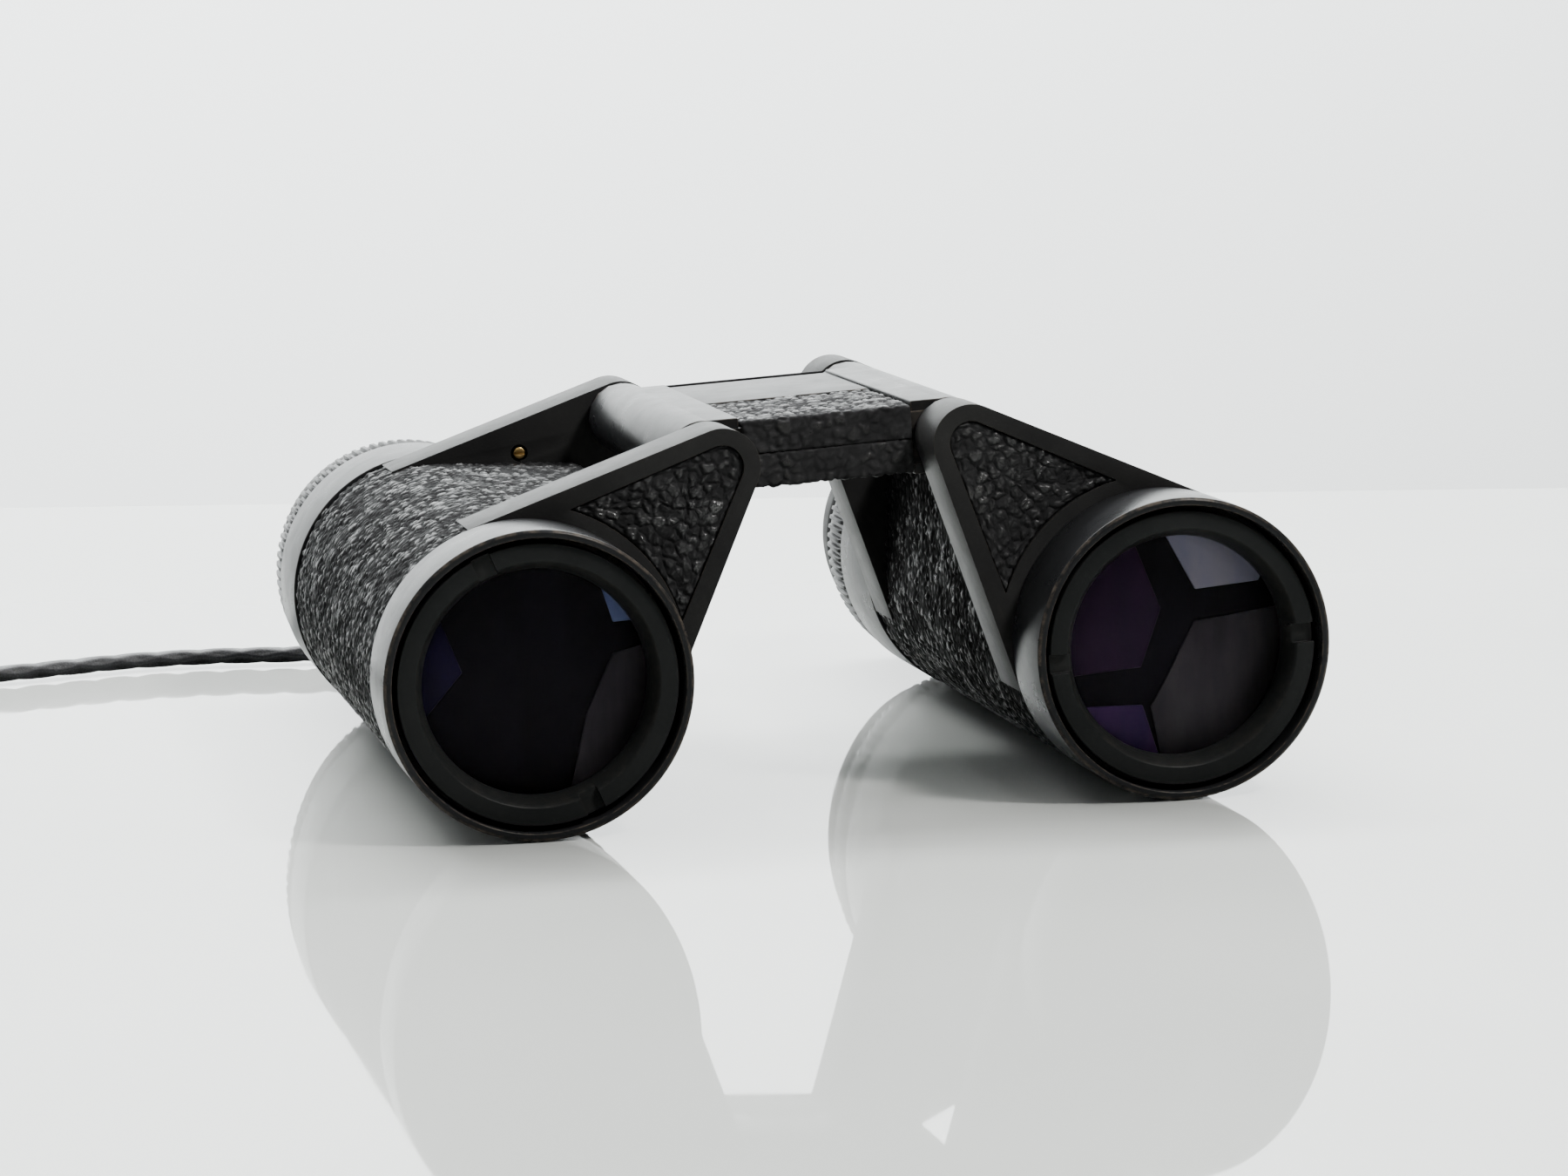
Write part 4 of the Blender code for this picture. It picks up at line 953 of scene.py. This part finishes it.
def bridge_band(name, node):
    """Thin dark leather strip across the back of the bridge."""
    bm = prism_bm(slab(-BLOCK_HALF, BLOCK_HALF, -COVER_T, COVER_T), BLOCK_Y[1] + 0.3, BLOCK_Y[1] + 0.9)
    bmesh.ops.subdivide_edges(bm, edges=bm.edges[:], cuts=30, use_grid_fill=True)
    for v in bm.verts:
        p = v.co.x / MM
        if v.co.y / MM - Y_SHIFT > BLOCK_Y[1] + 0.85:
            h = float(FLAT_GRAIN.height(np.array([p + 90.0]), np.array([v.co.z / MM + 140.0]))[0])
            v.co.y -= 0.22 * (1 - h) * MM
    return place(from_bmesh(name, bm, 40), M["leather"], "bridge", [node])


def build_bridge():
    core = prism_bm(slab(-HINGE_SPAN / 2, HINGE_SPAN / 2, -BLOCK_T, BLOCK_T), *BLOCK_Y)
    block = bevelled("block", core, 0.2, 2)
    # Shoulders that fill between the covers and the round knuckles.
    parts = [block, knuckle(*HL), knuckle(*HR)]
    for k, (p0, p1) in enumerate(((-HINGE_SPAN / 2, -BLOCK_HALF - 0.14), (BLOCK_HALF + 0.14, HINGE_SPAN / 2))):
        parts.append(bevelled("shoulder_%d" % k, prism_bm(slab(p0, p1, -SHOULDER, SHOULDER), 17.9, 53.7), 0.14, 3))
    body = joined("bridge_casting", parts)
    body.data.shade_smooth()
    body.data.set_sharp_from_angle(angle=math.radians(38))
    set_wear(body, None, 0.5)
    place(body, M["gloss"], "bridge", ["bridge_body"])
    bridge_leather("bridge_upper_skin", 1, "bridge_leather_upper")
    bridge_leather("bridge_lower_skin", -1, "bridge_leather_lower")
    bridge_band("bridge_rear_strip", "bridge_rear_leather")
    plate = prism_bm(slab(-BLOCK_HALF, BLOCK_HALF, BLOCK_T + 0.3, COVER_T), TOP_LEATHER_END + 0.3, TOP_PLATE_END)
    plate = bevelled("bridge_plate_top", plate, 0.16, 3)
    set_wear(plate, None, 0.5)
    place(plate, M["satin"], "bridge", ["bridge_top_plate"])
    cover = prism_bm(slab(-BLOCK_HALF, BLOCK_HALF, -COVER_T, -BLOCK_T - 0.3), TOP_LEATHER_END + 0.3, TOP_PLATE_END)
    cuts = []
    for p in (-4.5, 4.5):
        ring = bmesh.new()
        ends = []
        for q in (-6.0, 0.0):
            row = []
            for i in range(40):
                a = 2 * math.pi * i / 40
                x, z = bridge(p + 1.5 * math.cos(a), q)
                row.append(ring.verts.new(P(x, 44.0 + 1.5 * math.sin(a), z)))
            ends.append(row)
        ring.faces.new(ends[0])
        ring.faces.new(ends[1])
        for i in range(40):
            k = (i + 1) % 40
            ring.faces.new((ends[0][i], ends[0][k], ends[1][k], ends[1][i]))
        cuts.append((ring, "DIFFERENCE"))
    cover = bevelled("bridge_plate_under", boolean(cover, *cuts), 0.14, 3)
    set_wear(cover, None, 0.5)
    place(cover, M["satin"], "bridge", ["bridge_bottom_cover"])


# ---------------------------------------------------------------- camera
def build_camera():
    fwd = Vector((0.22379617, 0.96408862, -0.14299791)).normalized()
    az = math.radians(-13.0687)
    right0 = Vector((math.cos(az), math.sin(az), 0.0))
    up0 = right0.cross(fwd)
    r = math.radians(-1.1585)
    right = right0 * math.cos(r) + up0 * math.sin(r)
    up = -right0 * math.sin(r) + up0 * math.cos(r)
    data = bpy.data.cameras.new("camera")
    data.sensor_width, data.lens = 36.0, 103.31
    data.clip_start, data.clip_end = 0.01, 50.0
    cam = bpy.data.objects.new("camera", data)
    bpy.context.scene.collection.objects.link(cam)
    m = Matrix((right, up, -fwd)).transposed().to_4x4()
    m.translation = Vector((-0.104675, -0.464933, 0.084860))
    cam.matrix_world = m
    bpy.context.scene.camera = cam


build_camera()

# ---------------------------------------------------------------- wrist cord
LUG_DEG, LUG_Y, LUG_R = 25.0, 75.0, 17.6
E_R = Vector((math.cos(math.radians(LUG_DEG)), 0.0, math.sin(math.radians(LUG_DEG))))
E_T = Vector((-E_R.z, 0.0, E_R.x))
E_Y = Vector((0.0, 1.0, 0.0))
LUG_BASE = Vector((LEFT.cx, 0.0, AXIS_Z))
LUG_EYE = LUG_BASE + E_R * LUG_R + E_Y * LUG_Y
CORD_Z = CORD_R + 0.05
COIL = (-95.4, 99.3)
ROUTE = [
    Vector((LUG_EYE.x, 86.0, LUG_EYE.z)),
    Vector((LUG_EYE.x + 0.05, 92.0, LUG_EYE.z - 0.5)),
    Vector((-16.2, 98.5, 18.4)),
    Vector((-17.9, 104.8, 10.8)),
    Vector((-23.6, 110.8, 3.8)),
    Vector((-32.0, 114.4, CORD_Z + 0.3)),
    Vector((-41.5, 116.2, CORD_Z)),
    Vector((-51.0, 118.0, CORD_Z)),
    Vector((-61.0, 117.8, CORD_Z)),
    Vector((-69.0, 115.6, CORD_Z)),
    Vector((-77.0, 113.4, CORD_Z)),
    Vector((COIL[0] + 9.2, COIL[1] + 12.95, CORD_Z)),
]


def catmull(points, per=24):
    pts = [points[0] * 2 - points[1], *points, points[-1] * 2 - points[-2]]
    out = []
    for p0, p1, p2, p3 in zip(pts, pts[1:], pts[2:], pts[3:]):
        t1 = (p1 - p0).length ** 0.5
        t2 = t1 + (p2 - p1).length ** 0.5
        t3 = t2 + (p3 - p2).length ** 0.5
        for k in range(per):
            t = t1 + (t2 - t1) * k / per
            a1 = p0 * ((t1 - t) / t1) + p1 * (t / t1)
            a2 = p1 * ((t2 - t) / (t2 - t1)) + p2 * ((t - t1) / (t2 - t1))
            a3 = p2 * ((t3 - t) / (t3 - t2)) + p3 * ((t - t2) / (t3 - t2))
            b1 = a1 * ((t2 - t) / t2) + a2 * (t / t2)
            b2 = a2 * ((t3 - t) / (t3 - t1)) + a3 * ((t - t1) / (t3 - t1))
            out.append(b1 * ((t2 - t) / (t2 - t1)) + b2 * ((t - t1) / (t2 - t1)))
    out.append(points[-1])
    return out


def even(points, step):
    p = np.array([tuple(q) for q in points], float)
    s = np.concatenate([[0], np.cumsum(np.linalg.norm(np.diff(p, axis=0), axis=1))])
    t = np.linspace(0, s[-1], max(2, int(round(s[-1] / step)) + 1))
    return np.stack([np.interp(t, s, p[:, k]) for k in range(3)], -1), s[-1]


def ease(t, a, b):
    x = min(1.0, max(0.0, (t - a) / (b - a)))
    return x * x * (3 - 2 * x)


def coil_point(t):
    """t counts turns. Two turns side by side, then two on top, with the end laid across."""
    r = 12.95 - 2.25 * ease(t, 0.85, 1.0) + 2.25 * ease(t, 2.5, 2.66)
    z = CORD_Z + 2.25 * ease(t, 1.66, 1.84)
    a = math.pi / 2 + 2 * math.pi * t
    return Vector((COIL[0] + r * math.cos(a), COIL[1] + r * math.sin(a), z))


def tube_mesh(line, section, name, mat, twist=None):
    """Sweep section(s, angles) -> (radius across, along normal, relief) along a line of points in mm."""
    p = np.asarray(line, float)
    tan = np.gradient(p, axis=0)
    tan /= np.linalg.norm(tan, axis=1)[:, None]
    s = np.concatenate([[0], np.cumsum(np.linalg.norm(np.diff(p, axis=0), axis=1))])
    up = np.array([0.0, 0.0, 1.0])
    side_v = np.cross(tan, up)
    bad = np.linalg.norm(side_v, axis=1) < 1e-3
    side_v[bad] = np.array([1.0, 0, 0])
    side_v /= np.linalg.norm(side_v, axis=1)[:, None]
    nor = np.cross(side_v, tan)
    n = 28
    ang = 2 * math.pi * np.arange(n) / n
    A, S = np.meshgrid(ang, s)
    w, h, rel = section(S, A)
    tw = np.zeros(len(s)) if twist is None else np.array([twist(q) for q in s])
    cu, cv = w * np.cos(A), h * np.sin(A)
    ct, st = np.cos(tw)[:, None], np.sin(tw)[:, None]
    U, V_ = cu * ct - cv * st, cu * st + cv * ct
    verts = p[:, None] + side_v[:, None] * U[..., None] + nor[:, None] * V_[..., None]
    verts = verts.reshape(-1, 3)
    verts = np.concatenate([verts, p[:1], p[-1:]])
    metres = np.stack([verts[:, 0] * MM, (verts[:, 1] + Y_SHIFT) * MM, verts[:, 2] * MM], -1)
    quads = [tuple(f) for f in grid_faces(n, len(s), True)]
    a, b = len(verts) - 2, len(verts) - 1
    last = (len(s) - 1) * n
    quads += [(a, (i + 1) % n, i) for i in range(n)]
    quads += [(b, last + i, last + (i + 1) % n) for i in range(n)]
    bm = bmesh.new()
    bv = [bm.verts.new(v) for v in metres]
    for f in quads:
        bm.faces.new([bv[i] for i in f])
    bmesh.ops.recalc_face_normals(bm, faces=bm.faces[:])
    me = bpy.data.meshes.new(name)
    bm.to_mesh(me)
    bm.free()
    me.shade_smooth()
    obj = bpy.data.objects.new(name, me)
    bpy.context.scene.collection.objects.link(obj)
    set_relief(obj, np.concatenate([rel.ravel(), [0.5, 0.5]]))
    obj.data.materials.append(mat)
    return obj


def plait(S, A, width=1.22, height=0.92, pitch=5.0):
    """Flat plait: two families of strands that pass over and under each other."""
    one = np.sin(3 * A + 2 * math.pi * S / pitch)
    two = np.sin(3 * A - 2 * math.pi * S / pitch)
    rel = np.maximum(one, two)
    rel = np.clip(0.5 + 0.5 * rel, 0, 1) ** 0.7
    k = 0.80 + 0.24 * rel
    return width * k, height * k, rel


def build_cord():
    run = catmull(ROUTE)
    line = run + [coil_point(t) for t in np.arange(0.0, 3.44, 1 / 90)]
    end = coil_point(3.44)
    a = math.pi / 2 + 2 * math.pi * 3.44
    ahead = Vector((-math.sin(a), math.cos(a), 0))
    inward = Vector((-math.cos(a), -math.sin(a), 0))
    tail = [end, end + ahead * 3.0 + inward * 0.4 + Vector((0, 0, 0.25)), end + ahead * 6.0 + inward * 1.4 + Vector((0, 0, 1.2)), end + ahead * 9.0 + inward * 3.0 + Vector((0, 0, 2.0))]
    line = line[:-1] + catmull(tail, 12)
    raw, _ = even(line, 0.25)
    kernel = np.hanning(19)
    kernel /= kernel.sum()
    soft = raw.copy()
    for k in range(3):
        padded = np.concatenate([np.repeat(raw[:1, k], 9), raw[:, k], np.repeat(raw[-1:, k], 9)])
        soft[:, k] = np.convolve(padded, kernel, "valid")
    soft[0], soft[-1] = raw[0], raw[-1]
    pts, total = even(soft, 0.25)

    # The lace lies flat all along: the twist is zero everywhere.
    def twist(s):
        return 0.0 if s < 60 else 0.0

    cord = tube_mesh(pts, plait, "wrist_cord", M["cord"], twist)
    route, length = even(pts, 2.0)
    knot_at = pts[-1]
    # Overhand knot at the end, lying on the coil.
    knot = []
    fwd = (pts[-1] - pts[-12])
    fwd /= np.linalg.norm(fwd)
    for k in range(97):
        t = 2 * math.pi * k / 96
        x, y, z = math.sin(t) + 2 * math.sin(2 * t), math.cos(t) - 2 * math.cos(2 * t), -math.sin(3 * t)
        knot.append((knot_at[0] + fwd[0] * 1.6 + 1.05 * x, knot_at[1] + fwd[1] * 1.6 + 0.95 * y, knot_at[2] + 0.3 + 0.85 * z))
    kn, _ = even([Vector(q) for q in knot], 0.25)
    knot_obj = tube_mesh(kn, lambda S, A: plait(S, A, 1.0, 0.85, 4.0), "cord_knot", M["cord"])
    # Tie round the coil's turns.
    ta = math.radians(-62.0)
    rm, zm = 11.82, CORD_Z + 1.12
    tie = []
    for k in range(61):
        t = 2 * math.pi * k / 60
        ct, st = math.cos(t), math.sin(t)
        rr = rm + 2.62 * math.copysign(abs(ct) ** 0.55, ct)
        zz = zm + 2.50 * math.copysign(abs(st) ** 0.55, st)
        tie.append((rr, max(zz, 0.38)))
    bm = bmesh.new()
    rows = []
    for r, z in tie[:-1]:
        cr, cz = r - rm, z - zm
        l = math.hypot(cr, cz)
        row = []
        for du, dn in ((-1.6, -0.22), (-1.6, 0.16), (-1.3, 0.3), (1.3, 0.3), (1.6, 0.16), (1.6, -0.22)):
            rr, zz = r + cr / l * dn, max(z + cz / l * dn, 0.05)
            x = COIL[0] + rr * math.cos(ta) - du * math.sin(ta)
            y = COIL[1] + rr * math.sin(ta) + du * math.cos(ta)
            row.append(bm.verts.new(P(x, y, zz)))
        rows.append(row)
    for i in range(len(rows)):
        one, two = rows[i], rows[(i + 1) % len(rows)]
        for k in range(6):
            m = (k + 1) % 6
            bm.faces.new((one[k], one[m], two[m], two[k]))
    tie_obj = from_bmesh("coil_tie", bm, 40)
    tie_obj.data.materials.append(M["rubber"])
    for o in (cord, knot_obj, tie_obj):
        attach(o, "left_barrel")
    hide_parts("strap_cord", "strap_coil")


build_cord()

# ---------------------------------------------------------------- the object
STEP = 0.21
for _side in (LEFT, RIGHT):
    build_barrel(_side, STEP)
build_bridge()


def carried(prefix_or_name, mat):
    for name, obj in frame["nodes"].items():
        if obj.hide_render or not (name == prefix_or_name or name.endswith(prefix_or_name)):
            continue
        obj.data.materials.clear()
        obj.data.materials.append(mat)


for _n, _m, _s in (
    ("_hinge_pin", "steel", "steel"), ("_washer_front", "dark_steel", "dark_steel"), ("_washer_rear", "dark_steel", "dark_steel"),
    ("_prism_shelf", "inner", "matte_black"), ("_field_stop", "inner", "matte_black"),
    ("_prism_front", "prism", "clear_glass"), ("_prism_rear", "prism", "clear_glass"),
    ("bridge_screw_1", "steel", "steel"), ("bridge_screw_2", "steel", "steel"),
    ("strap_lug", "dark_steel", "dark_steel"), ("strap_ferrule", "dark_steel", "dark_steel"), ("strap_loop", "cord", "cord"),
):
    carried(_n, M[_m])


# ---------------------------------------------------------------- stage
def stage_plane(name, corners, mat):
    me = bpy.data.meshes.new(name)
    me.from_pydata(corners, [], [tuple(range(len(corners)))])
    obj = bpy.data.objects.new(name, me)
    bpy.context.scene.collection.objects.link(obj)
    me.materials.append(mat)
    return obj


def table_finish():
    mat, tree, bsdf = nodes_of("table_white")
    co = object_coords(tree)
    base = ramp(tree, noise(tree, 9.0, 3.0, 0.5, co), [(0.3, (0.335, 0.345, 0.332)), (0.7, (0.375, 0.385, 0.370))])
    tree.links.new(base, bsdf.inputs["Base Color"])
    scr = ramp(tree, noise(tree, 60.0, 5.0, 0.7, object_coords(tree, (1.0, 0.15, 1.0))), [(0.5, (0.018,) * 3), (0.8, (0.07,) * 3)])
    tree.links.new(scr, bsdf.inputs["Roughness"])
    bsdf.inputs["IOR"].default_value = 1.34
    return mat


def wall_finish():
    mat, tree, bsdf = nodes_of("wall_white")
    bsdf.inputs["Base Color"].default_value = (0.80, 0.815, 0.815, 1.0)
    bsdf.inputs["Roughness"].default_value = 0.9
    return mat


def stage_table():
    """A flat top whose far edge rolls over, at a slant to the object."""
    fall = [(0.0, 0.0)] + [(0.02 * math.sin(math.pi / 2 * k / 12), -0.02 * (1 - math.cos(math.pi / 2 * k / 12))) for k in range(1, 13)] + [(0.02, -0.6)]
    verts, faces = [(-3, -2.0, -0.0001), (3, -2.0, -0.0001)], []
    for out, z in fall:
        verts += [(-3, 1.128 - 0.02 + out, z - 0.0001), (3, -0.656 - 0.02 + out, z - 0.0001)]
    faces.append((0, 1, 3, 2))
    for k in range(1, len(fall)):
        i = 2 * k
        faces.append((i, i + 1, i + 3, i + 2))
    me = bpy.data.meshes.new("stage_table")
    me.from_pydata(verts, [], faces)
    me.shade_smooth()
    obj = bpy.data.objects.new("stage_table", me)
    bpy.context.scene.collection.objects.link(obj)
    me.materials.append(table_finish())


stage_table()
stage_plane("stage_wall", [(-4, 1.6, -1.6), (4, 1.6, -1.6), (4, 1.6, 2.4), (-4, 1.6, 2.4)], wall_finish())


def area(name, at, target, size, energy, color=(1, 1, 1), size_y=None):
    data = bpy.data.lights.new(name, "AREA")
    data.energy, data.color = energy, color
    data.shape, data.size, data.size_y = "RECTANGLE", size, size_y or size
    obj = bpy.data.objects.new(name, data)
    bpy.context.scene.collection.objects.link(obj)
    obj.location = at
    obj.rotation_euler = (Vector(target) - Vector(at)).to_track_quat("-Z", "Y").to_euler()
    return obj


area("key_top", (0.0, 0.35, 1.15), (0, 0.05, 0), 1.5, 38.0, (1.0, 1.0, 1.0), 1.1)
area("glint_right", (0.32, -0.42, 0.62), (0, 0, 0.02), 0.12, 9.0, (1.0, 0.99, 0.97))
area("fill_left", (-1.1, 0.0, 0.55), (0, 0, 0.03), 0.8, 3.0, (0.97, 0.985, 1.0))
area("wall_wash", (0.0, 0.9, 1.3), (0, 1.6, 0.2), 2.2, 215.0, (0.975, 1.0, 1.0), 0.7)

world = bpy.data.worlds.new("studio")
bpy.context.scene.world = world
world.use_nodes = True
wt = world.node_tree
bg = wt.nodes["Background"]
tc = wt.nodes.new("ShaderNodeTexCoord")
sep = wt.nodes.new("ShaderNodeSeparateXYZ")
wt.links.new(tc.outputs["Generated"], sep.inputs[0])
up_ramp = wt.nodes.new("ShaderNodeValToRGB")
up_ramp.color_ramp.elements[0].position, up_ramp.color_ramp.elements[0].color = 0.35, (0.16, 0.163, 0.166, 1)
up_ramp.color_ramp.elements[1].position, up_ramp.color_ramp.elements[1].color = 0.8, (0.85, 0.87, 0.88, 1)
back = wt.nodes.new("ShaderNodeMath")
back.operation = "MULTIPLY_ADD"
wt.links.new(sep.outputs["Y"], back.inputs[0])
back.inputs[1].default_value, back.inputs[2].default_value = 0.35, 0.5
wt.links.new(back.outputs[0], up_ramp.inputs["Fac"])
wt.links.new(up_ramp.outputs["Color"], bg.inputs["Color"])
bg.inputs["Strength"].default_value = 0.9
